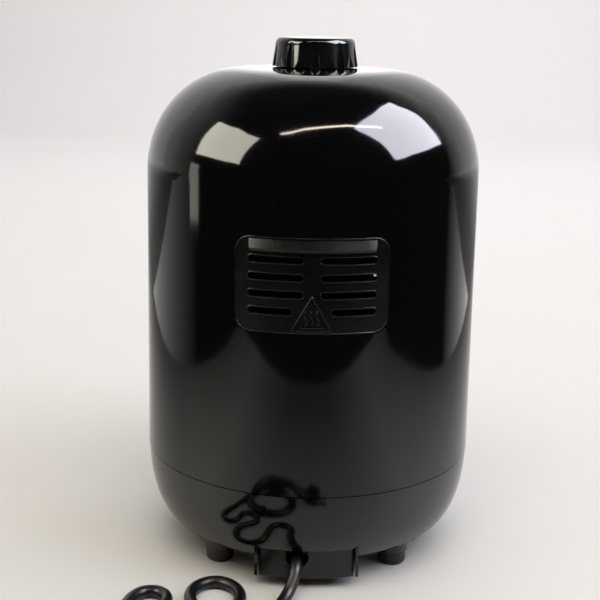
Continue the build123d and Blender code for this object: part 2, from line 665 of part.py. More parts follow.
def leg_places():
    """Where the element's two legs stand, past its first angle along the tangent."""
    start = math.radians(ELEMENT_START_DEG)
    return [(radius * math.cos(start) + LEG_BEND_R * math.sin(start),
             radius * math.sin(start) - LEG_BEND_R * math.cos(start))
            for radius in (ELEMENT_R_OUT, ELEMENT_R_IN)]


def reflector():
    flange = cylinder(FLANGE_R, FLANGE_Z, FLANGE_Z + SHEET)
    flange -= block(-200, 200, -200, DECK_FRONT_Y, FLANGE_Z - 1, FLANGE_Z + 3)
    dish = Pos(0, 0, FLANGE_Z) * Cone(DISH_R, DISH_R - 2, DISH_H,
                                      align=(Align.CENTER, Align.CENTER, Align.MIN))
    dish = fillet(dish.edges().group_by(Axis.Z)[-1], DISH_EDGE_R)
    hollow = Pos(0, 0, FLANGE_Z - SHEET) * Cone(DISH_R - SHEET, DISH_R - 2 - SHEET, DISH_H,
                                                align=(Align.CENTER, Align.CENTER, Align.MIN))
    hollow = fillet(hollow.edges().group_by(Axis.Z)[-1], DISH_EDGE_R - SHEET)
    part = flange + dish - hollow
    part -= cylinder(8, DISH_TOP_Z - 5, DISH_TOP_Z + 5)
    for x, y in leg_places():
        part -= cylinder(ELEMENT_TUBE_R + 0.8, DISH_TOP_Z - 8, DISH_TOP_Z + 5, x, y)
    part -= cylinder(1.7, DISH_TOP_Z - 5, DISH_TOP_Z + 5, BULB_X, BULB_Y)
    part -= block(-20, 20, 50, 80, FLANGE_Z + 8, DISH_TOP_Z - 8)
    return part


def heating_element():
    """Two rings joined by a U-bend, with a leg at each end turned up through the reflector."""
    start, end = element_angles()
    r_out, r_in, z = ELEMENT_R_OUT, ELEMENT_R_IN, ELEMENT_Z
    mid_r = (r_out + r_in) / 2
    bend_r = (r_out - r_in) / 2
    leg_r = LEG_BEND_R
    outer = Pos(0, 0, z) * CenterArc((0, 0), r_out, start, ELEMENT_SWEEP_DEG)
    along = Vector(*polar(1, end + 90))
    centre = Vector(*polar(mid_r, end, z))
    bend = ThreePointArc(Vector(*polar(r_out, end, z)), centre + along * bend_r,
                         Vector(*polar(r_in, end, z)))
    inner = Pos(0, 0, z) * CenterArc((0, 0), r_in, end, -ELEMENT_SWEEP_DEG)
    back = Vector(*polar(1, start - 90))
    up = Vector(0, 0, 1)
    lean = math.sqrt(0.5)
    edges = [outer, bend, inner]
    for radius in (r_out, r_in):
        foot = Vector(*polar(radius, start, z))
        mid = foot + back * (leg_r * lean) + up * (leg_r * (1 - lean))
        top = foot + back * leg_r + up * leg_r
        edges.append(ThreePointArc(foot, mid, top))
        edges.append(Line(top, Vector(top.X, top.Y, DISH_TOP_Z + 5)))
    wire = Wire.combine(edges)[0]
    return sweep_round(wire, ELEMENT_TUBE_R)


def element_clips():
    clips = []
    for degrees in (190, 270, 350):
        plate = block(ELEMENT_R_IN - 5, 65, -0.5, 0.5, 128.5, 138.5)
        plate += block(62, 65, -0.5, 0.5, 138, DISH_TOP_Z - 8)
        for radius in (ELEMENT_R_IN, ELEMENT_R_OUT):
            plate -= cylinder_y(ELEMENT_TUBE_R + 0.05, -3, 3, radius, ELEMENT_Z)
        clips.append(Rot(0, 0, degrees) * plate)
    return Compound(clips)


def insulation_disc():
    z0 = DISH_TOP_Z
    disc = cylinder(52, z0, z0 + 4) - cylinder(9, z0 - 1, z0 + 6)
    for x, y in leg_places():
        disc -= cylinder(ELEMENT_TUBE_R + 1.2, z0 - 1, z0 + 6, x, y)
    return disc


def fan(radius, z0, z1, hub_z0, hub_z1, blades, blade_below):
    """A sheet fan: a disc with radial blades on one face and a hub on the shaft."""
    disc_z = z1 - 1.0 if blade_below else z0
    wheel = cylinder(radius, disc_z, disc_z + 1.0) + cylinder(6, hub_z0, hub_z1)
    blade_z0 = z0 if blade_below else z0 + 0.5
    blade_z1 = z1 - 0.5 if blade_below else z1
    for k in range(blades):
        blade = Rot(0, 0, 25) * block(0, radius - 16, -0.5, 0.5, blade_z0, blade_z1)
        wheel += Rot(0, 0, 360 / blades * k) * Pos(14, 0, 0) * blade
    wheel &= cylinder(radius, 0, 300)
    return wheel - cylinder(SHAFT_R, 0, 300)


def hot_air_fan():
    return fan(FAN_R, FAN_Z0, FAN_Z1, FAN_Z0, FAN_Z1, BLADES, True)


def cooling_fan():
    return fan(COOLER_R, COOLER_Z, COOLER_Z + 9, COOLER_Z, COOLER_Z + 8, BLADES - 1, False)


def motor_shaft():
    return cylinder(SHAFT_R, FAN_Z0 - 4, COOLER_Z + 12)


def fan_nuts():
    nuts = []
    for z0 in (FAN_Z0 - 4, COOLER_Z + 8):
        nut = Pos(0, 0, z0) * extrude(RegularPolygon(5.5, 6), 4)
        nuts.append(nut - cylinder(SHAFT_R, z0 - 1, z0 + 6))
    return Compound(nuts)


MOTOR_Z1 = MOTOR_Z0 + STACK_H


def motor_stator():
    stack = block(-24, 50, -24, 24, MOTOR_Z0, MOTOR_Z1)
    stack = fillet(stack.edges().filter_by(Axis.Z), 3)
    stack -= cylinder(ROTOR_R + AIR_GAP, MOTOR_Z0 - 1, MOTOR_Z1 + 1)
    return stack - block(22, 38, -15, 15, MOTOR_Z0 - 1, MOTOR_Z1 + 1)


def motor_coil():
    winding = block(25, 63, -13.5, 13.5, MOTOR_Z0 - 7, MOTOR_Z1 + 7)
    winding = fillet(winding.edges().filter_by(Axis.Y), 4)
    return winding - block(38, 50, -20, 20, MOTOR_Z0, MOTOR_Z1)


def motor_rotor():
    return cylinder(ROTOR_R, MOTOR_Z0 - 1, MOTOR_Z1 + 1) - cylinder(SHAFT_R, 0, 300)


def bearing_levels():
    """Underside of each bearing bridge, and the span of its legs."""
    low = MOTOR_Z0 - 10
    high = MOTOR_Z1 + 8.5
    return [(low, low + 1.5, MOTOR_Z0), (high, MOTOR_Z1, high)]


def bearing_brackets():
    """Two bridges over the rotor, one below the stack and one above it."""
    bridges = []
    for plate_z, leg_z0, leg_z1 in bearing_levels():
        bridge = block(-8, 8, -23, 23, plate_z, plate_z + 1.5)
        for sy in (-1, 1):
            bridge += block(-8, 8, sy * 20.5 - 2.5, sy * 20.5 + 2.5, leg_z0, leg_z1)
        bridges.append(bridge - cylinder(6, plate_z - 1, plate_z + 3))
    return Compound(bridges)


def bearings():
    sleeves = []
    for plate_z, _, _ in bearing_levels():
        sleeve = cylinder(6, plate_z - 3, plate_z + 4) + cylinder(7.5, plate_z + 1.5, plate_z + 3)
        sleeves.append(sleeve - cylinder(SHAFT_R + RUN_FIT, plate_z - 5, plate_z + 6))
    return Compound(sleeves)


def motor_bracket():
    """A sheet bridge on the reflector's flange, with four standoffs under the stator."""
    foot_z = FLANGE_Z + SHEET
    bridge = block(-76, 76, -22, 22, BRACKET_Z, BRACKET_Z + 1.6)
    for sx in (-1, 1):
        bridge += block(min(sx * 74.4, sx * 76), max(sx * 74.4, sx * 76), -12, 12, foot_z, BRACKET_Z)
        bridge += block(min(sx * 74.4, sx * 81), max(sx * 74.4, sx * 81), -12, 12, foot_z, foot_z + 1.6)
    for x in (-19, 19):
        for y in (-18.5, 18.5):
            bridge += cylinder(3, BRACKET_Z, MOTOR_Z0, x, y)
    return bridge - cylinder(10, BRACKET_Z - 1, BRACKET_Z + 3)


def exhaust_duct():
    reach = BODY_R - SHELL_DRAFT - VENT_INSET - VENT_T - 2.2
    outer = block(-DUCT_HALF_W, DUCT_HALF_W, DUCT_Y0, BODY_R, FLANGE_Z + 3, VENT_Z1 - 2)
    inner = block(-DUCT_HALF_W + DUCT_WALL, DUCT_HALF_W - DUCT_WALL, DUCT_Y0 + DUCT_WALL, BODY_R,
                  FLANGE_Z + 3 + DUCT_WALL, VENT_Z1 - 2 - DUCT_WALL)
    shell = (outer & cylinder(reach, 0, 300)) - inner
    shell += (outer & ring(reach, reach - DUCT_WALL, FLANGE_Z + 3, VENT_Z0 + 1))
    return shell - block(-20, 20, DUCT_Y0 - 5, DUCT_Y0 + 5, FLANGE_Z + 8, DISH_TOP_Z - 8)


# ---- hot-air outlet ---------------------------------------------------------------------------
def slot_rows():
    """Centre X, centre Z and length of every slot."""
    rows = []
    for row in range(SLOT_ROWS):
        x0 = SHORT_SLOT_X0 if row == SLOT_ROWS - 1 else SLOT_X0
        for sx in (-1, 1):
            rows.append((sx * (x0 + SLOT_X1) / 2, SLOT_TOP_Z - row * SLOT_PITCH, SLOT_X1 - x0))
    return rows


def symbol_sketch():
    """Hot-surface sign: a rounded triangle, three rising waves and the surface under them."""
    outer = make_face(Polyline([(0, SYMBOL_TOP_Z), (SYMBOL_HALF_W, SYMBOL_BASE_Z),
                                (-SYMBOL_HALF_W, SYMBOL_BASE_Z)], close=True))
    sign = outer - offset(outer, -RELIEF_W)
    bar_z = SYMBOL_BASE_Z + 2.2
    sign += Pos(0, bar_z) * SlotOverall(12.5, RELIEF_W)
    for k in (-1, 0, 1):
        x = k * 3.4
        wave = Spline([(x - 0.4, bar_z + 1.4), (x + 0.7, bar_z + 3.2), (x - 0.7, bar_z + 5.8),
                       (x + 0.4, bar_z + 7.8)])
        sign += trace(wave, RELIEF_W * 0.9)
    return sign


def vent_grille():
    grille = (upper_body(VENT_INSET) - upper_body(VENT_INSET + VENT_T)) & vent_window(0)
    back = (upper_body(SHELL_WALL + 0.25) - upper_body(VENT_INSET + VENT_T)) & vent_window(4)
    grille += back
    rims = Sketch() + [Pos(x, z) * SlotOverall(w + 1.6, SLOT_H + 1.6) for x, z, w in slot_rows()]
    grille += outlet_layer(rims, VENT_INSET - RELIEF, VENT_INSET + 0.5)
    grille += outlet_layer(symbol_sketch(), VENT_INSET - RELIEF, VENT_INSET + 0.5)
    hood = Polyline([(BODY_R - 4, HOOD_Z0 + 0.6), (BODY_R - 4, HOOD_Z1),
                     (BODY_R - SHELL_DRAFT - VENT_INSET, HOOD_Z1),
                     (BODY_R - SHELL_DRAFT - VENT_INSET + HOOD_REACH, HOOD_Z0 + 1.4),
                     (BODY_R - SHELL_DRAFT - VENT_INSET + HOOD_REACH - 0.4, HOOD_Z0)], close=True)
    lip = revolve(make_face(Plane.XZ * hood), axis=Axis.Z)
    ends = Plane.XY * make_face(Polyline([(-HOOD_HALF_W, 80), (HOOD_HALF_W, 80),
                                          (HOOD_HALF_W, 96.2), (HOOD_HALF_W - 5, 110),
                                          (-HOOD_HALF_W + 5, 110), (-HOOD_HALF_W, 96.2)], close=True))
    grille += lip & extrude(ends, 300, dir=(0, 0, 1))
    for x, z, w in slot_rows():
        slot = Plane.XZ * Pos(x, z) * SlotOverall(w, SLOT_H)
        grille -= Pos(0, BODY_R + 8, 0) * extrude(slot, 40)
    return grille


# ---- controls ---------------------------------------------------------------------------------
def knob(radius, height, bore_depth):
    """A fluted knob standing on Z=0 with a blind bore for its shaft."""
    profile = Polyline([(0, 0), (radius, 0), (radius - KNOB_TAPER, height), (0, height)], close=True)
    body = revolve(make_face(Plane.XZ * profile), axis=Axis.Z)
    body = fillet(body.edges().group_by(Axis.Z)[-1], KNOB_EDGE_R)
    for k in range(KNOB_GROOVES):
        groove = Pos(radius + 0.35, 0, -1) * extrude(Circle(KNOB_GROOVE_W / 2 + 0.1), height + 3)
        body -= Rot(0, 0, 90 + 360 / KNOB_GROOVES * k) * groove
    body -= ring(radius - 5, 7, -1, height - 5)
    return body - cylinder(SHAFT_R, -1, bore_depth)


def crown_top():
    return upper_body(0).bounding_box().max.Z


def temperature_knob():
    return Pos(0, 0, crown_top() + KNOB_GAP) * knob(KNOB_R, KNOB_H - KNOB_GAP, 12)


def thermostat():
    body = block(-18, 18, -15, 15, 262, 286)
    body = fillet(body.edges().filter_by(Axis.Z), 3)
    body += block(-26, 26, -8, 8, 286, THERMO_TOP_Z) + cylinder(5, THERMO_TOP_Z, 292)
    body -= cylinder(SHAFT_R + RUN_FIT, 278, 293)
    for sx in (-1, 1):
        body -= cylinder(1.6, 285, 289, sx * THERMO_SCREW_X)
    return body


def thermostat_shaft():
    return cylinder(SHAFT_R, 279, crown_top() + 12)


def thermostat_screws():
    return [cylinder(2.8, 284.2, 286, sx * THERMO_SCREW_X)
            + cylinder(1.4, 286, THERMO_TOP_Z + 5, sx * THERMO_SCREW_X) for sx in (-1, 1)]


def capillary_tube():
    points = [(-12, 4, 262), (-12, 4, 251), (-24, 16, 240), (-42, 28, 226), (-52, 34, 206),
              (-54, 36, 186), (-49, 35, 168), (BULB_X, BULB_Y, 160), (BULB_X, BULB_Y, 150.0)]
    return sweep_round(FilletPolyline(points, radius=tube_radii(points)), 1.2)


def sensing_bulb():
    return cylinder(2.6, 138.6, 150.0, BULB_X, BULB_Y)


def timer_bezel():
    face_y = BEZEL_FACE_Y
    cup = cylinder_y(BEZEL_R, face_y, face_y + 12, 0, TIMER_Z)
    cup = fillet(cup.edges().group_by(Axis.Y)[0], 1.5)
    cup -= cylinder_y(BEZEL_R - 2.4, face_y + 3, face_y + 13, 0, TIMER_Z)
    cup -= cylinder_y(5.3, face_y - 1, face_y + 4, 0, TIMER_Z)
    for x, z in lens_places():
        cup -= cylinder_y(LENS_R + 0.1, face_y - 1, face_y + 4, x, z)
    for sx in (-1, 1):
        cup += cylinder_y(3.5, face_y + 3, face_y + 14, sx * 17, TIMER_Z)
    return cup


def lens_places():
    angle = math.radians(LENS_DEG)
    return [(sx * LENS_RING_R * math.sin(angle), TIMER_Z + LENS_RING_R * math.cos(angle))
            for sx in (-1, 1)]


def lamp_lens(index):
    x, z = lens_places()[index]
    lens = cylinder_y(LENS_R, BEZEL_FACE_Y - 0.5, BEZEL_FACE_Y + 3, x, z)
    return lens + cylinder_y(LENS_R + 0.9, BEZEL_FACE_Y + 3, BEZEL_FACE_Y + 4.2, x, z)


def indicator_lamps():
    return Compound([cylinder_y(2.5, BEZEL_FACE_Y + 4.4, BEZEL_FACE_Y + 16, x, z)
                     for x, z in lens_places()])


def timer_knob():
    body = knob(TIMER_KNOB_R, TIMER_KNOB_H, 11)
    return Pos(0, BEZEL_FACE_Y - 0.5, TIMER_Z) * Rot(90, 0, 0) * body


TIMER_BODY_Y0 = BEZEL_FACE_Y + 14


def timer_body():
    case = block(-23, 23, TIMER_BODY_Y0, TIMER_BODY_Y0 + 30, TIMER_Z - 23, TIMER_Z + 23)
    case = fillet(case.edges().filter_by(Axis.Y), 4)
    case += cylinder_y(5, BEZEL_FACE_Y + 2, TIMER_BODY_Y0, 0, TIMER_Z)
    return case - cylinder_y(SHAFT_R + RUN_FIT, BEZEL_FACE_Y - 5, TIMER_BODY_Y0 + 12, 0, TIMER_Z)


def timer_shaft():
    return cylinder_y(SHAFT_R, BEZEL_FACE_Y - 11.5, TIMER_BODY_Y0 + 11, 0, TIMER_Z)


def timer_bell():
    y0 = TIMER_BODY_Y0 + 32
    dome = cylinder_y(19, y0, y0 + 9, 0, TIMER_Z)
    dome = fillet(dome.edges().group_by(Axis.Y)[-1], 6)
    cup = cylinder_y(18.2, y0 - 1, y0 + 8.2, 0, TIMER_Z)
    cup = fillet(cup.edges().group_by(Axis.Y)[-1], 5.4)
    return dome - cup + cylinder_y(2.5, y0 - 2, y0 + 9.5, 0, TIMER_Z)


def thermal_fuse():
    z = BRACKET_Z + 1.6 + 2.2
    return cylinder_x(2.2, -62, -34, -14, z)


def terminal_block():
    case = block(-42, -14, TUNNEL_BACK_Y + TUNNEL_WALL, TUNNEL_BACK_Y + TUNNEL_WALL + 12, 66, 82)
    for x in (-37, -28, -19):
        case -= cylinder(2.4, 76, 90, x, TUNNEL_BACK_Y + TUNNEL_WALL + 6)
    return case


def safety_switch():
    y0 = TUNNEL_BACK_Y + TUNNEL_WALL
    case = block(12, 32, y0, y0 + 7, PLUNGER_Z - 7, PLUNGER_Z + 4)
    return case - cylinder_y(PLUNGER_R + RUN_FIT, y0 - 1, y0 + 5.2, PLUNGER_X, PLUNGER_Z)


def switch_plunger():
    return cylinder_y(PLUNGER_R, PAN_BACK_Y + 0.3, TUNNEL_BACK_Y + TUNNEL_WALL + 5,
                      PLUNGER_X, PLUNGER_Z)


def supply_wires():
    wires = []
    for k, x in enumerate((-37.0, -28.0, -19.0)):
        start_x = CORD_X - 2 + 2 * k
        points = [(start_x, 77.8, CORD_EXIT_Z), (start_x - 2, 74, CORD_EXIT_Z + 0.6 + 0.3 * k),
                  (x + 9, 73.0, 30), (x + 1, 74.5, 46), (x, 74, 57), (x, 74, 66)]
        wires.append(sweep_round(FilletPolyline(points, radius=tube_radii(points)), 0.9))
    return Compound(wires)


# ---- mains lead -------------------------------------------------------------------------------
def tube_radii(points):
    """Tangent radius at every inner point: as large as its two runs allow."""
    radii = []
    for k in range(1, len(points) - 1):
        before = Vector(*points[k]) - Vector(*points[k - 1])
        after = Vector(*points[k + 1]) - Vector(*points[k])
        half_turn = math.radians(before.get_angle(after)) / 2
        radii.append(0.45 * min(before.length, after.length) / math.tan(half_turn))
    return radii


def behind_bracket(route):
    """A route's points about the body's axis."""
    return [(x, BRACKET_R + y, z) for x, y, z in route]


def cord_tube(route):
    points = behind_bracket(route)
    radii = tube_radii(points)
    print("cord radii in diameters:", [round(r / CORD_D, 1) for r in radii])
    path = FilletPolyline(points, radius=radii)
    tube = sweep_round(path, CORD_D / 2)
    expected = math.pi * CORD_D ** 2 / 4 * path.length
    print(f"cord tube {path.length:.1f} mm, volume {tube.volume / expected:.4f} of section x length")
    return tube


def coil_half():
    """Half the width of two turns lying side by side."""
    return CORD_D + 0.3


def cord_coil():
    top = COIL_LIFT + CORD_D + 0.3
    body = cylinder(COIL_R + coil_half(), COIL_LIFT, top, COIL_X, COIL_Y)
    body -= cylinder(COIL_R - coil_half(), 0, top + 1, COIL_X, COIL_Y)
    return fillet(body.edges(), 2.5)


def cord_tie():
    """A strap once around the coil, on the side away from the appliance's cord."""
    y0 = COIL_Y - COIL_R - coil_half()
    y1 = COIL_Y - COIL_R + coil_half()
    top = COIL_LIFT + CORD_D + 0.3
    outer = block(COIL_X - 5, COIL_X + 5, y0 - 1.2, y1 + 1.2, 0.1, top + 1.0)
    return outer - block(COIL_X - 6, COIL_X + 6, y0 - 0.6, y1 + 0.6, COIL_LIFT - 0.1, top + 0.1)


def plug_frame():
    """The plug's place: at the tail's end, lying level and carrying on the way the tail runs."""
    before, end = [Vector(*point) for point in behind_bracket(TAIL_ROUTE)[-2:]]
    along = end - before
    level = Vector(along.X, along.Y, 0).normalized()
    return Plane(origin=end, x_dir=Vector(0, 0, 1).cross(level), z_dir=level)


def build_plug():
    frame = plug_frame()
    boot = frame * Pos(0, 0, 0) * Cone(4.6, 6.4, 14, align=(Align.CENTER, Align.CENTER, Align.MIN))
    body = frame * Pos(0, 0, 14) * extrude(RectangleRounded(25, 18, 5), PLUG_L - 14)
    pins = []
    for sx in (-1, 1):
        pins.append(frame * Pos(sx * 6.35, 1.5, PLUG_L) * extrude(Rectangle(1.5, 6.4), 17))
    pins.append(frame * Pos(0, -4.5, PLUG_L) * extrude(Circle(2.4), 20))
    return boot, body, Compound(pins)


# ---- assembly ---------------------------------------------------------------------------------
def assembly():
    boot, plug, pins = build_plug()
    return {
        "upper_shell": upper_shell(),
        "lower_shell": lower_shell(),
        "vent_grille": vent_grille(),
        "cord_bracket": cord_bracket(),
        "rubber_feet": rubber_feet(),
        "chassis": chassis(),
        "housing_screws": housing_screws(),
        "drawer_screws": drawer_screws(),
        "pan": pan(),
        "basket": basket(),
        "basket_bracket": basket_bracket(),
        "drawer_front": drawer_front(),
        "drawer_back_plate": drawer_back_plate(),
        "handle_left": handle_half(-1),
        "handle_right": handle_half(1),
        "latch_pin": latch_pin(),
        "release_latch": release_latch(),
        "release_button": release_button(),
        "button_spring": button_spring(),
        "button_guard": button_guard(),
        "reflector": reflector(),
        "heating_element": heating_element(),
        "element_clips": element_clips(),
        "insulation_disc": insulation_disc(),
        "hot_air_fan": hot_air_fan(),
        "cooling_fan": cooling_fan(),
        "motor_shaft": motor_shaft(),
        "fan_nuts": fan_nuts(),
        "motor_stator": motor_stator(),
        "motor_coil": motor_coil(),
        "motor_rotor": motor_rotor(),
        "bearing_brackets": bearing_brackets(),
        "bearings": bearings(),
        "motor_bracket": motor_bracket(),
        "exhaust_duct": exhaust_duct(),
        "temperature_knob": temperature_knob(),
        "thermostat": thermostat(),
        "thermostat_shaft": thermostat_shaft(),
        "capillary_tube": capillary_tube(),
        "sensing_bulb": sensing_bulb(),
        "timer_bezel": timer_bezel(),
        "power_lens": lamp_lens(0),
        "heating_lens": lamp_lens(1),
        "indicator_lamps": indicator_lamps(),
        "timer_knob": timer_knob(),
        "timer_body": timer_body(),
        "timer_shaft": timer_shaft(),
        "timer_bell": timer_bell(),
        "thermal_fuse": thermal_fuse(),
        "terminal_block": terminal_block(),
        "supply_wires": supply_wires(),
        "safety_switch": safety_switch(),
        "switch_plunger": switch_plunger(),
        "strain_relief": strain_relief(),
        "power_cord": cord_tube(CORD_ROUTE),
        "cord_coil": cord_coil(),
        "cord_tie": cord_tie(),
        "cord_tail": cord_tube(TAIL_ROUTE),
        "plug": Compound([boot + plug, *pins.solids()]),
    }


def main():
    os.makedirs("parts", exist_ok=True)
    axis_y = (HANDLE_REACH - BODY_R) / 2
    for name, shape in assembly().items():
        export_step(Pos(0, axis_y, 0) * shape, f"parts/{name}.step")
    print("axis at y =", axis_y)


main()
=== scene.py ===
"""Compact air fryer: finishes, mains lead, dials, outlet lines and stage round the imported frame."""

import json
import math

import bmesh
import bpy
from mathutils import Matrix, Vector


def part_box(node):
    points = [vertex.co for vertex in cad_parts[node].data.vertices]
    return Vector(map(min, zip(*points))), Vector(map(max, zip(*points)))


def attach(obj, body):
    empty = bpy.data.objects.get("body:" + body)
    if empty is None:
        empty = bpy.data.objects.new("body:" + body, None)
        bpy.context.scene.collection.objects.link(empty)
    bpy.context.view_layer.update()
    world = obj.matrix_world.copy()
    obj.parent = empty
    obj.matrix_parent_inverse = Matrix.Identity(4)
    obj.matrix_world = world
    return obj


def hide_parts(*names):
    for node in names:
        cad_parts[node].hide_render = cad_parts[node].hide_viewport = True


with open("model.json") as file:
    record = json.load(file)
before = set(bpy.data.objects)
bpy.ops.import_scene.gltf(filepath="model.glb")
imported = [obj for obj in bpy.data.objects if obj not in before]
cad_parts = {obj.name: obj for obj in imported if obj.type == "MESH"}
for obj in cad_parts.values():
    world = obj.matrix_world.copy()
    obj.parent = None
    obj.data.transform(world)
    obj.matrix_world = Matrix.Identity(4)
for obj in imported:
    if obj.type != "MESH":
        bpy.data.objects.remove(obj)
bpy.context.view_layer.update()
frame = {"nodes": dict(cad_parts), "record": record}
MM = 0.001

bl_info = {
    "name": "Compact Air Fryer",
    "version": (1, 0, 0),
    "blender": (4, 5, 0),
    "location": "View3D > Sidebar > Air Fryer",
    "description": "Builds the finishes, dials, mains lead and stage of a compact air fryer",
    "category": "Add Mesh",
}

# ---- places taken from the frame ---------------------------------------------------------------
shaft_low, shaft_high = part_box("motor_shaft")
AXIS_Y = (shaft_low.y + shaft_high.y) / 2     # the body's vertical axis stands at x = 0
knob_low, knob_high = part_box("temperature_knob")
timer_low, timer_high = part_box("timer_knob")
coil_low, coil_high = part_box("cord_coil")

# The mains lead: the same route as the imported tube, in millimetres; X from the body's axis and
# Y from the bracket's face, which lies BRACKET_FACE in front of the axis.
LEAD_ROUTE = [
    (5.5, -13.5, 18.2), (5.5, -4.5, 18.2), (5.8, 4.5, 17.0), (7.6, 10.5, 10.5),
    (10.6, 16.0, 5.2), (14.2, 24.0, 3.6), (16.0, 32.5, 3.6), (15.4, 41.1, 3.6),
    (21.6, 48.5, 3.6), (31.4, 49.1, 3.6), (39.0, 41.7, 3.6), (38.4, 27.5, 3.6),
    (37.4, 13.5, 3.6), (43.0, 3.1, 3.6), (53.0, -1.9, 3.6), (62.8, 2.9, 3.6), (67.2, 13.0, 3.6),
    (65.6, 24.5, 3.6), (59.6, 34.5, 3.6), (59.8, 44.5, 3.6), (66.6, 51.5, 3.6),
    (76.4, 51.1, 3.6), (82.6, 43.9, 3.6), (82.2, 34.5, 3.6), (79.4, 26.1, 3.6),
    (79.9, 17.1, 3.6), (86.0, 11.5, 3.6), (94.4, 12.3, 3.6), (99.6, 19.1, 3.6),
    (101.8, 28.5, 3.6), (104.4, 41.5, 3.6), (107.2, 58.5, 3.9), (109.0, 76.5, 4.6),
]
TAIL_ROUTE = [
    (103.6, 118.2, 12.3), (96.5, 130.5, 12.3), (85.3, 140.3, 12.3), (72.0, 145.1, 12.3),
    (58.0, 146.7, 12.3), (45.0, 148.1, 12.2), (33.0, 148.5, 11.6), (22.5, 145.5, 9.8),
    (13.0, 140.5, 9.3),
]
BRACKET_FACE = 92.5
COIL_OUTER_R = 43.7
COIL_INNER_R = 36.4
COIL_MIDDLE_R = 40.0
COIL_LOW_Z = 4.6
COIL_TOP_Z = 12.3
TURN_POINTS = 20

# The plug along its own axis, in millimetres: place, half width, half height and corner.
PLUG_RINGS = (
    (-16, 3.75, 3.75, 3.74), (-12, 4.0, 4.0, 3.99), (-6, 4.5, 4.5, 4.49), (0, 5.0, 5.0, 4.9),
    (8, 5.8, 5.8, 5.2), (13, 6.8, 6.6, 5.4), (16, 10.6, 8.2, 5.0), (18, 12.0, 8.8, 4.6),
    (21, 12.4, 9.0, 4.2), (26, 12.2, 9.0, 4.0), (31, 12.3, 9.0, 4.0), (36, 12.5, 9.0, 4.0),
    (37.5, 12.3, 8.8, 3.8), (38, 11.8, 8.3, 3.4),
)
RIB_START = 20.5
RIB_PITCH = 2.4
RIB_REACH = (11.6, 12.5)
BLADE_X = 6.35
BLADE_Y = 1.5
BLADE_RINGS = ((37.6, 0.75, 3.2), (53.6, 0.75, 3.2), (54.6, 0.55, 2.8), (55.0, 0.32, 2.3))
EARTH_Y = -4.5
EARTH_RINGS = ((37.6, 2.4), (55.2, 2.4), (56.8, 2.1), (57.6, 1.4), (58.0, 0.5))

# The outlet's lines on the wall, in metres: X to the side and Z up.
PANEL_HALF_W = 0.0425
PANEL_LOW_Z = 0.1590
PANEL_TOP_Z = 0.2120
PANEL_CORNER = 0.0085
SLOT_ROWS = 4
SLOT_TOP_Z = 0.1998
SLOT_PITCH = 0.0096
SLOT_INNER_X = 0.0048
SHORT_SLOT_INNER_X = 0.011
SLOT_OUTER_X = 0.0353
RIM_HALF_H = 0.0022
SIGN_OUTLINE = [(0, 0.1799), (0.0112, 0.1602), (-0.0112, 0.1602)]
SIGN_BAR = [(-0.0062, 0.1621), (0.0062, 0.1621)]
WAVE_PITCH = 0.0034
WAVE_SWING = 0.0009
WAVE_FOOT_Z = 0.1638
WAVE_H = 0.0082
WAVE_STEPS = 12

# How a dial's sheet is shared out between its side, its edge and its top.
SIDE_SHARE = 0.3
EDGE_SHARE = 0.75
SHEET_ROUND = 481
SHEET_ALONG = 45


def routed(route):
    """A route's points about the body's axis."""
    return [(x, BRACKET_FACE + y, z) for x, y, z in route]


def at(x, y, z):
    """A place given in millimetres about the body's axis, in the frame's metres."""
    return Vector((x * MM, AXIS_Y + y * MM, z * MM))


# ---- shared helpers ----------------------------------------------------------------------------
def linear(hex_colour, alpha=1.0):
    """A colour written as sRGB hex, as the linear values that Blender works in."""
    channels = [int(hex_colour[k:k + 2], 16) / 255 for k in (1, 3, 5)]
    return tuple(c / 12.92 if c <= 0.04045 else ((c + 0.055) / 1.055) ** 2.4
                 for c in channels) + (alpha,)


def add(tree, kind, inputs=None, **settings):
    """Adds a node with its settings; each input is a value or the socket that feeds it."""
    made = tree.nodes.new(kind)
    for name, value in settings.items():
        setattr(made, name, value)
    for name, value in (inputs or {}).items():
        socket = made.inputs[name]
        if isinstance(value, bpy.types.NodeSocket):
            tree.links.new(value, socket)
        else:
            socket.default_value = value
    return made


def new_object(name, data):
    """An object with this data, in the scene."""
    made = bpy.data.objects.new(name, data)
    bpy.context.scene.collection.objects.link(made)
    return made


def mesh_object(name, form, smooth_angle=None):
    """Turns a bmesh into an object, shaded smooth up to an angle in degrees."""
    data = bpy.data.meshes.new(name)
    form.to_mesh(data)
    form.free()
    if smooth_angle is not None:
        data.shade_smooth()
        data.set_sharp_from_angle(angle=math.radians(smooth_angle))
    return new_object(name, data)


def plain_copy(piece):
    """Replaces a piece's live modifiers by their result."""
    depsgraph = bpy.context.evaluated_depsgraph_get()
    data = bpy.data.meshes.new_from_object(piece.evaluated_get(depsgraph),
                                           preserve_all_data_layers=True, depsgraph=depsgraph)
    if piece.type == "MESH":
        piece.modifiers.clear()
        piece.data = data
        return piece
    made = new_object(piece.name + "_solid", data)
    bpy.data.objects.remove(piece)
    return made


def wear(piece, material, body, slot, *nodes):
    """Gives a finished piece its material, its body and the nodes it stands for; its slot is not used.
    """
    piece.data.materials.clear()
    piece.data.materials.append(material)
    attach(piece, body)
    if nodes:
        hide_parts(*nodes)
    return piece


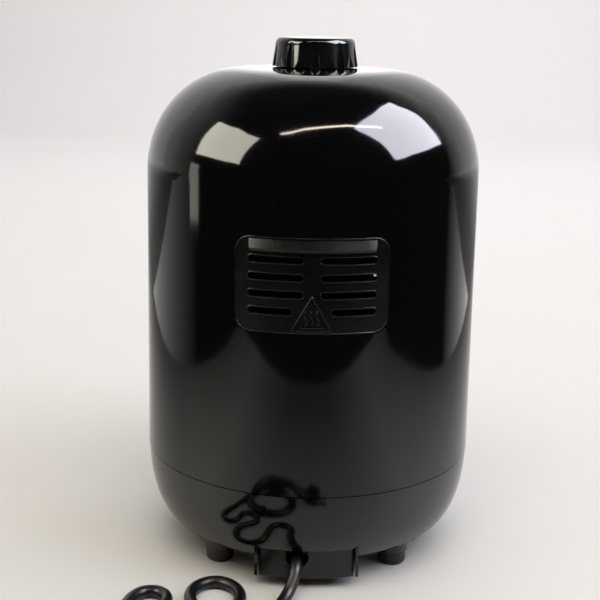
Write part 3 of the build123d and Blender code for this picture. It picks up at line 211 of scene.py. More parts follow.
# ---- finishes ----------------------------------------------------------------------------------
def surface(name, colour, roughness, **shader_inputs):
    """A material with its shader, and Object coordinates for its patterns."""
    material = bpy.data.materials.new(name)
    material.use_nodes = True
    tree = material.node_tree
    tree.nodes.clear()
    values = {"Base Color": linear(colour), "Roughness": roughness}
    values.update(shader_inputs)
    shader = add(tree, "ShaderNodeBsdfPrincipled", values)
    add(tree, "ShaderNodeOutputMaterial", {"Surface": shader.outputs["BSDF"]})
    material.diffuse_color = linear(colour)
    place = add(tree, "ShaderNodeTexCoord").outputs["Object"]
    return material, tree, shader, place


def grain(tree, place, size_mm, stretch=(1, 1, 1), detail=2.0, rough=0.5):
    """Noise whose features are about size_mm across, stretched along an axis."""
    scaled = add(tree, "ShaderNodeMapping", {"Vector": place, "Scale": stretch})
    return add(tree, "ShaderNodeTexNoise",
               {"Vector": scaled.outputs["Vector"], "Scale": 1000.0 / size_mm,
                "Detail": detail, "Roughness": rough}).outputs["Fac"]


def spread(tree, value, low, high, from_low=0.3, from_high=0.7):
    """Maps the middle of a noise's range on to the range from low to high."""
    return add(tree, "ShaderNodeMapRange",
               {"Value": value, "From Min": from_low, "From Max": from_high,
                "To Min": low, "To Max": high}).outputs["Result"]


def blend_colours(tree, share, first, second):
    """The first colour where share is 0, the second where it is 1."""
    mix = add(tree, "ShaderNodeMix", data_type="RGBA")
    for socket, value in ((mix.inputs[0], share), (mix.inputs[6], first), (mix.inputs[7], second)):
        if isinstance(value, bpy.types.NodeSocket):
            tree.links.new(value, socket)
        else:
            socket.default_value = value
    return mix.outputs[2]


def relief(tree, shader, height, depth_mm, strength=1.0):
    """Roughens the shading normal by a height pattern."""
    bump = add(tree, "ShaderNodeBump",
               {"Height": height, "Distance": depth_mm * MM, "Strength": strength})
    tree.links.new(bump.outputs["Normal"], shader.inputs["Normal"])


def gloss_abs(name, colour, dust="#8d8a84", dust_share=0.045):
    """ABS, injection moulded in a polished tool: deep mirror gloss with a faint orange peel.

    Handling leaves fine dust and hairline scuffs that dull the mirror a little."""
    material, tree, shader, place = surface(name, colour, 0.06, IOR=1.53)
    peel = grain(tree, place, 14.0, detail=1.0)
    relief(tree, shader, peel, 0.035, 0.5)
    hairline = grain(tree, place, 0.9, stretch=(1, 1, 0.05), detail=3.0)
    patches = grain(tree, place, 38.0, detail=3.0)
    scuffed = add(tree, "ShaderNodeMath",
                  {0: spread(tree, hairline, 0, 1, 0.62, 0.72),
                   1: spread(tree, patches, 0, 1, 0.5, 0.65)}, operation="MULTIPLY").outputs[0]
    haze = spread(tree, patches, 0.055, 0.085)
    rough = add(tree, "ShaderNodeMath", {0: scuffed, 1: 0.16, 2: haze},
                operation="MULTIPLY_ADD").outputs[0]
    tree.links.new(rough, shader.inputs["Roughness"])
    cells = add(tree, "ShaderNodeTexVoronoi", {"Vector": place, "Scale": 1000.0 / 5.5})
    speck = spread(tree, cells.outputs["Distance"], 1, 0, 0.035, 0.055)
    keep = spread(tree, cells.outputs["Color"], 0, 1, 0.80, 0.82)
    dusty = add(tree, "ShaderNodeMath", {0: speck, 1: keep}, operation="MULTIPLY").outputs[0]
    share = add(tree, "ShaderNodeMath", {0: dusty, 1: dust_share * 8}, operation="MULTIPLY").outputs[0]
    tree.links.new(blend_colours(tree, share, linear(colour), linear(dust)),
                   shader.inputs["Base Color"])
    return material


def moulded(name, colour, roughness=0.42, grain_mm=0.7, depth_mm=0.02, tone=0.12, **more):
    """Plastic or rubber moulded in a spark-eroded tool: an even fine grain with a soft sheen."""
    material, tree, shader, place = surface(name, colour, roughness, **more)
    fine = grain(tree, place, grain_mm, detail=3.0)
    relief(tree, shader, fine, depth_mm, 0.6)
    cloud = grain(tree, place, 26.0, detail=3.0)
    tree.links.new(spread(tree, cloud, roughness - 0.05, roughness + 0.07), shader.inputs["Roughness"])
    deep = tuple(c * (1 - tone) for c in linear(colour)[:3]) + (1,)
    light = tuple(min(1, c * (1 + tone)) for c in linear(colour)[:3]) + (1,)
    tree.links.new(blend_colours(tree, spread(tree, cloud, 0, 1), deep, light),
                   shader.inputs["Base Color"])
    return material


def metal(name, colour, roughness=0.3, stretch=(1, 1, 1), grain_mm=0.8, stain="#5a5148",
          stain_share=0.15, depth_mm=0.008):
    """Bare or plated metal: rolled, drawn or brushed, with a faint stain here and there."""
    material, tree, shader, place = surface(name, colour, roughness, Metallic=1.0)
    lines = grain(tree, place, grain_mm, stretch=stretch, detail=4.0)
    relief(tree, shader, lines, depth_mm, 0.5)
    tree.links.new(spread(tree, lines, roughness - 0.08, roughness + 0.12), shader.inputs["Roughness"])
    patch = grain(tree, place, 18.0, detail=4.0)
    tree.links.new(blend_colours(tree, spread(tree, patch, 0, stain_share, 0.5, 0.72),
                                 linear(colour), linear(stain)), shader.inputs["Base Color"])
    return material


def nonstick(name):
    """PTFE coating sprayed on sheet steel: charcoal with fine pale specks and a satin, pebbled skin."""
    material, tree, shader, place = surface(name, "#2b2b2d", 0.38, IOR=1.4)
    cells = add(tree, "ShaderNodeTexVoronoi", {"Vector": place, "Scale": 1000.0 / 2.2})
    speck = spread(tree, cells.outputs["Distance"], 1, 0, 0.10, 0.2)
    keep = spread(tree, cells.outputs["Color"], 0, 1, 0.7, 0.72)
    share = add(tree, "ShaderNodeMath", {0: speck, 1: keep}, operation="MULTIPLY").outputs[0]
    tree.links.new(blend_colours(tree, share, linear("#2b2b2d"), linear("#85858a")),
                   shader.inputs["Base Color"])
    relief(tree, shader, grain(tree, place, 1.1, detail=3.0), 0.03, 0.7)
    return material


def clear_part(name, colour, roughness=0.08, transmission=0.9):
    """Polycarbonate or glass, moulded or drawn clear: tinted through its thickness."""
    material, tree, shader, place = surface(name, colour, roughness, IOR=1.55)
    shader.inputs["Transmission Weight"].default_value = transmission
    tree.links.new(spread(tree, grain(tree, place, 8.0), roughness - 0.02, roughness + 0.05),
                   shader.inputs["Roughness"])
    return material


def element_sheath(name):
    """Steel-sheathed heating element: drawn tube, browned and greyed by heat in patches."""
    material, tree, shader, place = surface(name, "#4a443f", 0.5, Metallic=0.85)
    heat = grain(tree, place, 12.0, detail=5.0)
    tree.links.new(blend_colours(tree, spread(tree, heat, 0, 1, 0.35, 0.65),
                                 linear("#3a3633"), linear("#6d5a4c")), shader.inputs["Base Color"])
    relief(tree, shader, grain(tree, place, 0.6, detail=3.0), 0.02, 0.6)
    return material


# One material for each slot of the record, named for what the piece is made of and how. Blacks
# differ mainly by gloss: the shell mirrors, the dials shine, outlet and feet stay quiet.
FINISHES = {
    "gloss_black": lambda: gloss_abs("high_gloss_moulded_abs", "#060607"),
    "knob_black": lambda: moulded("gloss_moulded_abs_dial", "#0e0e0f", 0.11, 1.4, 0.006, IOR=1.6),
    "print_white": lambda: moulded("pad_printed_white_ink", "#e6e6e2", 0.5, 0.8, 0.004),
    "bead_black": lambda: moulded("polished_moulded_polypropylene", "#0b0b0c", 0.22, 1.4, 0.006,
                                  IOR=1.53),
    "satin_black": lambda: moulded("satin_moulded_polypropylene", "#070708", 0.25, 0.9, 0.008,
                                   tone=0.25),
    "nylon_black": lambda: moulded("glass_filled_moulded_nylon", "#161617", 0.48, 0.8, 0.03),
    "nylon_grey": lambda: moulded("grey_moulded_nylon", "#8f8f8c", 0.45, 0.8, 0.02),
    "foot_rubber": lambda: moulded("moulded_epdm_rubber", "#0a0a0b", 0.44, 0.9, 0.02),
    "cord_pvc": lambda: moulded("extruded_pvc_sheath", "#050506", 0.36, 1.2, 0.012),
    "nonstick": lambda: nonstick("sprayed_ptfe_nonstick"),
    "screw_steel": lambda: metal("zinc_plated_steel", "#b9b7b0", 0.32),
    "stainless": lambda: metal("brushed_stainless_steel", "#c3c2bf", 0.28, (1, 12, 1)),
    "spring_steel": lambda: metal("oiled_spring_steel_wire", "#8f8e8d", 0.26),
    "aluminised": lambda: metal("aluminised_sheet_steel", "#c2c1bd", 0.36, (1, 1, 1), 2.5,
                                "#7c6a52", 0.3, 0.02),
    "fan_aluminium": lambda: metal("pressed_aluminium", "#cfd0d1", 0.3, (8, 1, 1)),
    "element_sheath": lambda: element_sheath("browned_sheathed_element"),
    "insulation": lambda: moulded("pressed_ceramic_fibre", "#d9d3c3", 0.92, 1.6, 0.25),
    "lamination": lambda: metal("stacked_silicon_steel", "#6d6f73", 0.45, (1, 1, 26), 1.0,
                                "#3b3a3a", 0.4, 0.05),
    "winding": lambda: moulded("lacquered_winding_tape", "#a8842e", 0.5, 1.0, 0.05),
    "rotor_metal": lambda: metal("die_cast_rotor_aluminium", "#a6a7a9", 0.42),
    "bronze": lambda: metal("sintered_bronze", "#9c7041", 0.42),
    "zinc_sheet": lambda: metal("zinc_plated_sheet_steel", "#aeb0b3", 0.34, (6, 1, 1), 1.2),
    "nickel": lambda: metal("bright_nickel_plate", "#c9c4b8", 0.14),
    "copper_tube": lambda: metal("drawn_copper", "#b87351", 0.3),
    "smoke_clear": lambda: clear_part("smoked_moulded_polycarbonate", "#3a3d41"),
    "red_lens": lambda: clear_part("red_moulded_polycarbonate", "#c4140d", 0.12, 0.6),
    "green_lens": lambda: clear_part("green_moulded_polycarbonate", "#1f9a43", 0.12, 0.6),
    "neon_glass": lambda: clear_part("drawn_lamp_glass", "#efe9df", 0.05, 0.95),
    "wire_white": lambda: moulded("extruded_silicone_insulation", "#dcdad3", 0.5, 0.9, 0.01),
    "terminal_nylon": lambda: moulded("natural_moulded_nylon", "#d8d6cb", 0.4, 0.8, 0.02),
    "tie_black": lambda: moulded("moulded_nylon_tie", "#121213", 0.4, 0.8, 0.02),
}
finishes = {}


def finish(slot):
    """The material of one slot, made once."""
    if slot not in finishes:
        finishes[slot] = FINISHES[slot]()
    return finishes[slot]


# ---- mains lead --------------------------------------------------------------------------------
def coil_points(middle_x, middle_y):
    """Two turns side by side and a climb onto them, entered on the coil's +X side."""
    points = []
    steps = 2 * TURN_POINTS
    for k in range(-1, steps + 1):
        turn = 2 * math.pi * k / TURN_POINTS
        inward = min(1, max(0, (k - TURN_POINTS + 2) / 3))
        radius = COIL_OUTER_R + (COIL_INNER_R - COIL_OUTER_R) * inward
        climb = min(1, max(0, (k - steps + 5) / 4))
        height = COIL_LOW_Z + (COIL_TOP_Z - COIL_LOW_Z) * climb
        radius += (COIL_MIDDLE_R - COIL_INNER_R) * max(0, climb - 0.6) / 0.4
        radius /= math.cos(math.pi / TURN_POINTS) ** 0.5
        points.append((middle_x + radius * math.cos(turn), middle_y + radius * math.sin(turn), height))
    return points


def lead_curve(name, points, diameter):
    """A round tube along one open spline through the route's control points."""
    data = bpy.data.curves.new(name, "CURVE")
    data.dimensions = "3D"
    data.bevel_depth = diameter / 2
    data.bevel_resolution = 5
    data.use_fill_caps = True
    spline = data.splines.new("NURBS")
    spline.points.add(len(points) - 1)
    for point, place in zip(spline.points, points):
        point.co = (*at(*place), 1.0)
    spline.order_u = 3
    spline.use_endpoint_u = True
    spline.resolution_u = 8
    return new_object(name, data)


def plug_axes():
    """The plug's own frame: it carries on level, the way the lead's last run goes."""
    before, end = [at(*point) for point in routed(TAIL_ROUTE)[-2:]]
    along = end - before
    along.z = 0
    along.normalize()
    side = Vector((0, 0, 1)).cross(along)
    return Matrix.Translation(end) @ Matrix((side, Vector((0, 0, 1)), along)).transposed().to_4x4()


def rounded_outline(half_w, half_h, corner, steps=6):
    """Points round a rectangle with round corners, anticlockwise."""
    points = []
    for cx, cy, start in ((1, 1, 0), (-1, 1, 90), (-1, -1, 180), (1, -1, 270)):
        for k in range(steps + 1):
            turn = math.radians(start + 90 * k / steps)
            points.append((cx * (half_w - corner) + corner * math.cos(turn),
                           cy * (half_h - corner) + corner * math.sin(turn)))
    return points


def lofted(rings):
    """A skin over rings of points with the same count, given in metres."""
    form = bmesh.new()
    loops = [[form.verts.new(p) for p in ring] for ring in rings]
    count = len(rings[0])
    for below, above in zip(loops, loops[1:]):
        for k in range(count):
            form.faces.new((below[k], below[(k + 1) % count], above[(k + 1) % count], above[k]))
    form.faces.new(list(reversed(loops[0])))
    form.faces.new(loops[-1])
    bmesh.ops.recalc_face_normals(form, faces=form.faces)
    return form


def join_loft(form, rings):
    """Adds one more lofted part to a form."""
    part = lofted(rings)
    data = bpy.data.meshes.new("part")
    part.to_mesh(data)
    part.free()
    form.from_mesh(data)
    bpy.data.meshes.remove(data)


class AF_PG_lead(bpy.types.PropertyGroup):
    diameter: bpy.props.FloatProperty(name="Lead diameter", description="Across the round PVC sheath",
                                      default=0.0072, min=0.004, max=0.012, unit="LENGTH")
    grip_ribs: bpy.props.IntProperty(name="Grip ribs", description="Ribs moulded into the plug's sides",
                                     default=5, min=0, max=9)


class AF_OT_mains_lead(bpy.types.Operator):
    """Makes the mains lead, wound at its far end, with its plug"""
    bl_idname = "air_fryer.mains_lead"
    bl_label = "Mains Lead"

    def execute(self, context):
        sizes = context.scene.air_fryer_lead
        middle = (coil_low + coil_high) / 2
        points = (routed(LEAD_ROUTE) + coil_points(middle.x / MM, (middle.y - AXIS_Y) / MM)
                  + routed(TAIL_ROUTE))
        lead = lead_curve("mains_lead", points, sizes.diameter)
        wear(lead, finish("cord_pvc"), "housing", "cord_pvc", "power_cord", "cord_coil", "cord_tail")
        plug = self.plug_body(sizes)
        wear(plug, finish("cord_pvc"), "housing", "cord_pvc", "plug")
        pins = self.plug_pins()
        wear(pins, finish("nickel"), "housing", "nickel")
        return {"FINISHED"}

    def plug_body(self, sizes):
        """Boot and overmoulded grip in one piece, the boot tapering on to the lead."""
        rings = []
        for along, half_w, half_h, corner in PLUG_RINGS:
            rings.append([Vector((x * MM, y * MM, along * MM))
                          for x, y in rounded_outline(half_w, half_h, corner)])
        form = lofted(rings)
        for sign in (-1, 1):
            for k in range(sizes.grip_ribs):
                rib = [[Vector((sign * (x0 * MM), y * MM, (RIB_START + RIB_PITCH * k + z) * MM))
                        for y, z in rounded_outline(5.6, 0.6, 0.59, 3)] for x0 in RIB_REACH]
                join_loft(form, rib)
        form.transform(plug_axes())
        return mesh_object("plug_body", form, 40)

    def plug_pins(self):
        """Two flat blades and a round earth pin with a rounded nose."""
        form = bmesh.new()
        for sign in (-1, 1):
            join_loft(form, [[Vector(((sign * BLADE_X + x) * MM, (BLADE_Y + y) * MM, z * MM))
                              for x, y in rounded_outline(w, h, 0.3, 3)] for z, w, h in BLADE_RINGS])
        join_loft(form, [[Vector((x * MM, (EARTH_Y + y) * MM, z * MM))
                          for x, y in rounded_outline(r, r, r * 0.99, 6)] for z, r in EARTH_RINGS])
        form.transform(plug_axes())
        return mesh_object("plug_pins", form, 35)


# ---- geometry node groups ----------------------------------------------------------------------
def node_group(name, geometry_in, numbers):
    """A geometry group with named number inputs and a material input, and the sockets they give."""
    tree = bpy.data.node_groups.new(name, "GeometryNodeTree")
    if geometry_in:
        tree.interface.new_socket("Path", in_out="INPUT", socket_type="NodeSocketGeometry")
    for label, value in numbers.items():
        kind = "NodeSocketInt" if isinstance(value, int) else "NodeSocketFloat"
        tree.interface.new_socket(label, in_out="INPUT", socket_type=kind).default_value = value
    tree.interface.new_socket("Material", in_out="INPUT", socket_type="NodeSocketMaterial")
    tree.interface.new_socket("Geometry", in_out="OUTPUT", socket_type="NodeSocketGeometry")
    entry = add(tree, "NodeGroupInput")
    return tree, entry.outputs


def calc(tree, operation, *values):
    """One math node; a value is a number or a socket."""
    return add(tree, "ShaderNodeMath", dict(enumerate(values)), operation=operation).outputs[0]


def finish_group(tree, geometry, material):
    """Ends a group as every group ends here: instances made real, with the material set."""
    real = add(tree, "GeometryNodeRealizeInstances", {"Geometry": geometry})
    worn = add(tree, "GeometryNodeSetMaterial", {"Geometry": real.outputs[0], "Material": material})
    add(tree, "NodeGroupOutput", {"Geometry": worn.outputs[0]})
    return tree


def grown(name, tree, material, numbers, source=None):
    """Runs a group on a source, or on nothing, and leaves the plain mesh that it gives."""
    host = source or new_object(name, bpy.data.meshes.new(name))
    modifier = host.modifiers.new(name, "NODES")
    modifier.node_group = tree
    for item in tree.interface.items_tree:
        if item.in_out == "INPUT" and item.name in numbers:
            modifier[item.identifier] = numbers[item.name]
        elif item.in_out == "INPUT" and item.name == "Material":
            modifier[item.identifier] = material
    made = plain_copy(host)
    made.name = name
    if len(made.data.polygons) == 0:
        raise RuntimeError(name + " came out empty")
    return made


def fluted_dial_group():
    """A dial by rule: a tapered side, a rounded edge and a flat top, cut by round flutes."""
    tree, inputs = node_group("fluted_dial", False, {
        "Radius": 0.026, "Height": 0.017, "Taper": 0.002, "Edge": 0.005,
        "Flutes": 10, "Flute Radius": 0.0026, "Flute Offset": 0.00035})
    sheet = add(tree, "GeometryNodeMeshGrid", {"Size X": 1.0, "Size Y": 1.0, "Vertices X": SHEET_ROUND,
                                               "Vertices Y": SHEET_ALONG})
    position = add(tree, "GeometryNodeInputPosition").outputs[0]
    spot = add(tree, "ShaderNodeSeparateXYZ", {"Vector": position})
    turn = calc(tree, "MULTIPLY", spot.outputs["X"], 2 * math.pi)
    along = calc(tree, "ADD", spot.outputs["Y"], 0.5)
    spans = ((0.0, SIDE_SHARE), (SIDE_SHARE, EDGE_SHARE), (EDGE_SHARE, 1.0))
    side, edge, top = (add(tree, "ShaderNodeMapRange",
                           {"Value": along, "From Min": start, "From Max": end}).outputs[0]
                       for start, end in spans)
    bend = calc(tree, "MULTIPLY", edge, math.pi / 2)
    straight = calc(tree, "SUBTRACT", inputs["Height"], inputs["Edge"])
    height = calc(tree, "MULTIPLY_ADD", inputs["Edge"], calc(tree, "SINE", bend),
                  calc(tree, "MULTIPLY", straight, side))
    radius = calc(tree, "SUBTRACT", inputs["Radius"], calc(tree, "MULTIPLY", inputs["Taper"], side))
    drawn_in = calc(tree, "SUBTRACT", 1.0, calc(tree, "COSINE", bend))
    radius = calc(tree, "SUBTRACT", radius, calc(tree, "MULTIPLY", inputs["Edge"], drawn_in))
    radius = calc(tree, "MULTIPLY", radius, calc(tree, "SUBTRACT", 1.0, top))
    pitch = calc(tree, "DIVIDE", 2 * math.pi, inputs["Flutes"])
    away = calc(tree, "PINGPONG", calc(tree, "SUBTRACT", turn, math.pi / 2),
                calc(tree, "DIVIDE", pitch, 2.0))
    reach = calc(tree, "ADD", inputs["Radius"], inputs["Flute Offset"])
    across = calc(tree, "MULTIPLY", reach, calc(tree, "SINE", away))
    square = calc(tree, "SUBTRACT", calc(tree, "POWER", inputs["Flute Radius"], 2.0),
                  calc(tree, "POWER", across, 2.0))
    hollow = calc(tree, "SQRT", calc(tree, "MAXIMUM", square, 0.0))
    wall = calc(tree, "SUBTRACT", calc(tree, "MULTIPLY", reach, calc(tree, "COSINE", away)), hollow)
    radius = calc(tree, "SMOOTH_MIN", radius, wall, 0.0003)
    radius = calc(tree, "MULTIPLY", radius, calc(tree, "GREATER_THAN", 0.9999, top))
    place = add(tree, "ShaderNodeCombineXYZ",
                {"X": calc(tree, "MULTIPLY", radius, calc(tree, "COSINE", turn)),
                 "Y": calc(tree, "MULTIPLY", radius, calc(tree, "SINE", turn)), "Z": height})
    moved = add(tree, "GeometryNodeSetPosition",
                {"Geometry": sheet.outputs["Mesh"], "Position": place.outputs[0]})
    closed = add(tree, "GeometryNodeMergeByDistance",
                 {"Geometry": moved.outputs[0], "Distance": 0.00001})
    smooth = add(tree, "GeometryNodeSetShadeSmooth", {"Geometry": closed.outputs[0]})
    return finish_group(tree, smooth.outputs[0], inputs["Material"])


def surface_beads_group():
    """Beads along flat outlines, wrapped on to the drafted round wall behind them."""
    tree, inputs = node_group("surface_beads", True, {
        "Wall Radius": 0.1020, "Draft": 0.0069, "Wall Foot": 0.0627, "Bead Radius": 0.00045,
        "Step": 0.0007})
    fine = add(tree, "GeometryNodeResampleCurve",
               {"Curve": inputs["Path"], "Length": inputs["Step"]}, mode="LENGTH")
    position = add(tree, "GeometryNodeInputPosition").outputs[0]
    spot = add(tree, "ShaderNodeSeparateXYZ", {"Vector": position})
    lift = calc(tree, "SUBTRACT", spot.outputs["Z"], inputs["Wall Foot"])
    round_wall = calc(tree, "SUBTRACT", inputs["Wall Radius"],
                      calc(tree, "MULTIPLY", lift, inputs["Draft"]))
    depth = calc(tree, "SQRT", calc(tree, "SUBTRACT", calc(tree, "POWER", round_wall, 2.0),
                                    calc(tree, "POWER", spot.outputs["X"], 2.0)))
    place = add(tree, "ShaderNodeCombineXYZ",
                {"X": spot.outputs["X"], "Y": calc(tree, "ADD", depth, AXIS_Y), "Z": spot.outputs["Z"]})
    moved = add(tree, "GeometryNodeSetPosition",
                {"Geometry": fine.outputs[0], "Position": place.outputs[0]})
    ring = add(tree, "GeometryNodeCurvePrimitiveCircle",
               {"Resolution": 10, "Radius": inputs["Bead Radius"]})
    bead = add(tree, "GeometryNodeCurveToMesh",
               {"Curve": moved.outputs[0], "Profile Curve": ring.outputs[0], "Fill Caps": True})
    return finish_group(tree, bead.outputs[0], inputs["Material"])


def dial_ticks_group():
    """Printed ticks standing on an arc round a dial's axis, every fifth one longer."""
    tree, inputs = node_group("dial_ticks", False, {
        "Count": 31, "Sweep": 5.76, "Ring Radius": 0.0285, "Tick Width": 0.0006,
        "Tick Length": 0.0028, "Tick Height": 0.0003})
    line = add(tree, "GeometryNodeMeshLine", {"Count": inputs["Count"]})
    index = add(tree, "GeometryNodeInputIndex").outputs[0]
    share = calc(tree, "DIVIDE", index, calc(tree, "SUBTRACT", inputs["Count"], 1.0))
    turn = calc(tree, "MULTIPLY_ADD", share, inputs["Sweep"],
                calc(tree, "SUBTRACT", math.pi / 2, calc(tree, "DIVIDE", inputs["Sweep"], 2.0)))
    place = add(tree, "ShaderNodeCombineXYZ",
                {"X": calc(tree, "MULTIPLY", inputs["Ring Radius"], calc(tree, "COSINE", turn)),
                 "Y": calc(tree, "MULTIPLY", inputs["Ring Radius"], calc(tree, "SINE", turn))})
    spots = add(tree, "GeometryNodeSetPosition",
                {"Geometry": line.outputs[0], "Position": place.outputs[0]})
    size = add(tree, "ShaderNodeCombineXYZ",
               {"X": inputs["Tick Length"], "Y": inputs["Tick Width"], "Z": inputs["Tick Height"]})
    tick = add(tree, "GeometryNodeMeshCube", {"Size": size.outputs[0]})
    fifth = calc(tree, "COMPARE", calc(tree, "MODULO", index, 5.0), 0.0, 0.1)
    longer = add(tree, "ShaderNodeCombineXYZ",
                 {"X": calc(tree, "MULTIPLY_ADD", fifth, 0.6, 1.0), "Y": 1.0, "Z": 1.0})
    facing = add(tree, "ShaderNodeCombineXYZ", {"Z": turn})
    ticks = add(tree, "GeometryNodeInstanceOnPoints",
                {"Points": spots.outputs[0], "Instance": tick.outputs[0],
                 "Rotation": facing.outputs[0], "Scale": longer.outputs[0]})
    return finish_group(tree, ticks.outputs[0], inputs["Material"])


# ---- dials -------------------------------------------------------------------------------------
class AF_PG_dials(bpy.types.PropertyGroup):
    flutes: bpy.props.IntProperty(name="Flutes", description="Round flutes cut into each dial's side",
                                  default=10, min=4, max=24)
    flute_radius: bpy.props.FloatProperty(name="Flute radius", description="Radius of each round flute",
                                          default=0.0026, min=0.001, max=0.006, unit="LENGTH")
    edge: bpy.props.FloatProperty(name="Edge radius", description="Rounding between side and top",
                                  default=0.0036, min=0.001, max=0.008, unit="LENGTH")


class AF_OT_dials(bpy.types.Operator):
    """Makes the two fluted dials, the pointer of the front one and the ticks round it"""
    bl_idname = "air_fryer.dials"
    bl_label = "Dials"

    def execute(self, context):
        sizes = context.scene.air_fryer_dials
        tree = fluted_dial_group()
        shared = {"Flutes": sizes.flutes, "Flute Radius": sizes.flute_radius, "Edge": sizes.edge}
        top = grown("temperature_dial", tree, finish("knob_black"),
                    {"Radius": (knob_high.x - knob_low.x) / 2, "Height": knob_high.z - knob_low.z,
                     **shared})
        top.data.transform(Matrix.Translation((0, AXIS_Y, knob_low.z)))
        wear(top, finish("knob_black"), "temperature_dial", "knob_black", "temperature_knob")
        centre = (timer_low + timer_high) / 2
        facing = Matrix.Rotation(math.pi / 2, 4, "X")
        front = grown("timer_dial", tree, finish("knob_black"),
                      {"Radius": (timer_high.x - timer_low.x) / 2,
                       "Height": timer_high.y - timer_low.y, **shared})
        front.data.transform(Matrix.Translation((0, timer_high.y, centre.z)) @ facing)
        wear(front, finish("knob_black"), "timer_dial", "knob_black", "timer_knob")
        pointer = bmesh.new()
        bmesh.ops.create_cube(pointer, size=1.0, matrix=Matrix.Translation(
            (0, timer_low.y + 0.0001, centre.z + 0.012)) @ Matrix.Diagonal((0.0016, 0.0004, 0.010, 1)))
        wear(mesh_object("timer_pointer", pointer), finish("print_white"), "timer_dial", None)
        ticks = grown("timer_ticks", dial_ticks_group(), finish("print_white"), {})
        bezel_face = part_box("timer_bezel")[0].y
        ticks.data.transform(Matrix.Translation((0, bezel_face, centre.z)) @ facing)
        wear(ticks, finish("print_white"), "housing", None)
        return {"FINISHED"}


# ---- raised lines of the hot-air outlet --------------------------------------------------------
class AF_PG_outlet(bpy.types.PropertyGroup):
    bead_radius: bpy.props.FloatProperty(name="Bead radius", description="Radius of the raised lines",
                                         default=0.00045, min=0.0002, max=0.001, unit="LENGTH")


class AF_OT_outlet_beads(bpy.types.Operator):
    """Wraps the raised lines of the outlet on to the wall: its edge, slot rims and warning sign"""
    bl_idname = "air_fryer.outlet_beads"
    bl_label = "Outlet Beads"

    def execute(self, context):
        data = bpy.data.curves.new("outlet_beads", "CURVE")
        data.dimensions = "3D"
        self.loop(data, 0.0, (PANEL_LOW_Z + PANEL_TOP_Z) / 2,
                  PANEL_HALF_W, (PANEL_TOP_Z - PANEL_LOW_Z) / 2, PANEL_CORNER)
        for row in range(SLOT_ROWS):
            inner = SHORT_SLOT_INNER_X if row == SLOT_ROWS - 1 else SLOT_INNER_X
            for sign in (-1, 1):
                self.loop(data, sign * (inner + SLOT_OUTER_X) / 2, SLOT_TOP_Z - SLOT_PITCH * row,
                          (SLOT_OUTER_X - inner) / 2 + 0.0004, RIM_HALF_H, RIM_HALF_H - 0.00005)
        self.line(data, SIGN_OUTLINE, True)
        self.line(data, SIGN_BAR, False)
        for k in (-1, 0, 1):
            self.line(data, [(k * WAVE_PITCH - WAVE_SWING * math.sin(2 * math.pi * t / WAVE_STEPS),
                              WAVE_FOOT_Z + WAVE_H * t / WAVE_STEPS)
                             for t in range(WAVE_STEPS + 1)], False)
        beads = grown("outlet_beads", surface_beads_group(), finish("bead_black"),
                      {"Bead Radius": context.scene.air_fryer_outlet.bead_radius},
                      new_object("outlet_paths", data))
        wear(beads, finish("bead_black"), "housing", "satin_black")
        return {"FINISHED"}

    def loop(self, data, x, z, half_w, half_h, corner):
        """A closed rounded rectangle round a middle point."""
        outline = rounded_outline(half_w, half_h, corner, 8)
        self.line(data, [(x + dx, z + dz) for dx, dz in outline], True)

    def line(self, data, places, closed):
        """One spline of straight runs through places in X and Z."""
        spline = data.splines.new("POLY")
        spline.points.add(len(places) - 1)
        for point, (x, z) in zip(spline.points, places):
            point.co = (x, 0.0, z, 1.0)
        spline.use_cyclic_u = closed


# ---- finishes of the frame's own nodes ----------------------------------------------------------
class AF_OT_frame_finishes(bpy.types.Operator):
    """Gives every node of the frame that stays visible its finished material"""
    bl_idname = "air_fryer.frame_finishes"
    bl_label = "Frame Finishes"

    def execute(self, context):
        for entry in frame["record"]["subparts"]:
            node = frame["nodes"][entry["node"]]
            node.data.materials.clear()
            node.data.materials.append(finish(entry["material_slot"]))
        return {"FINISHED"}


# ---- stage -------------------------------------------------------------------------------------
TABLE_FRONT = 0.54        # metres; the sheet widens at its neck and turns up at its back
TABLE_NECK = -0.5
TABLE_BACK = -2.3
TABLE_HALF = 0.5
SHEET_HALF = 4.5
SHEET_TOP = 3.4
SWEEP_R = 0.7
SWEEP_STEPS = 12
CAMERA_PLACE = (6.5, 715.2, 332.6)   # millimetres about the body's axis
CAMERA_DOWN = 14.12
CAMERA_ROLL = 1.03
ROOM_COLOUR = (0.02, 0.02, 0.021, 1)
PAPER_COLOUR = (2.1, 2.07, 2.03, 1)
RIGHT_SHOULDER = (-45, 80, 267)      # places on the dome that mirror the lights
LEFT_SHOULDER = (47, 84, 255)
DOME_FRONT = (-9, 91, 271)
LEFT_WALL = (66, 77, 225)


def range_map(tree, value, from_low, from_high, low, high, **settings):
    """Maps a value from one range to another, and holds it there."""
    return add(tree, "ShaderNodeMapRange",
               {"Value": value, "From Min": from_low, "From Max": from_high,
                "To Min": low, "To Max": high}, **settings).outputs["Result"]


class AF_PG_stage(bpy.types.PropertyGroup):
    floor_colour: bpy.props.FloatVectorProperty(name="Floor", description="Colour of the pale table",
                                                default=linear("#e2dfd8")[:3], subtype="COLOR",
                                                size=3, min=0, max=1)
    lens: bpy.props.FloatProperty(name="Lens", description="Focal length on a 36 mm wide sensor",
                                  default=69.7, min=20, max=200)


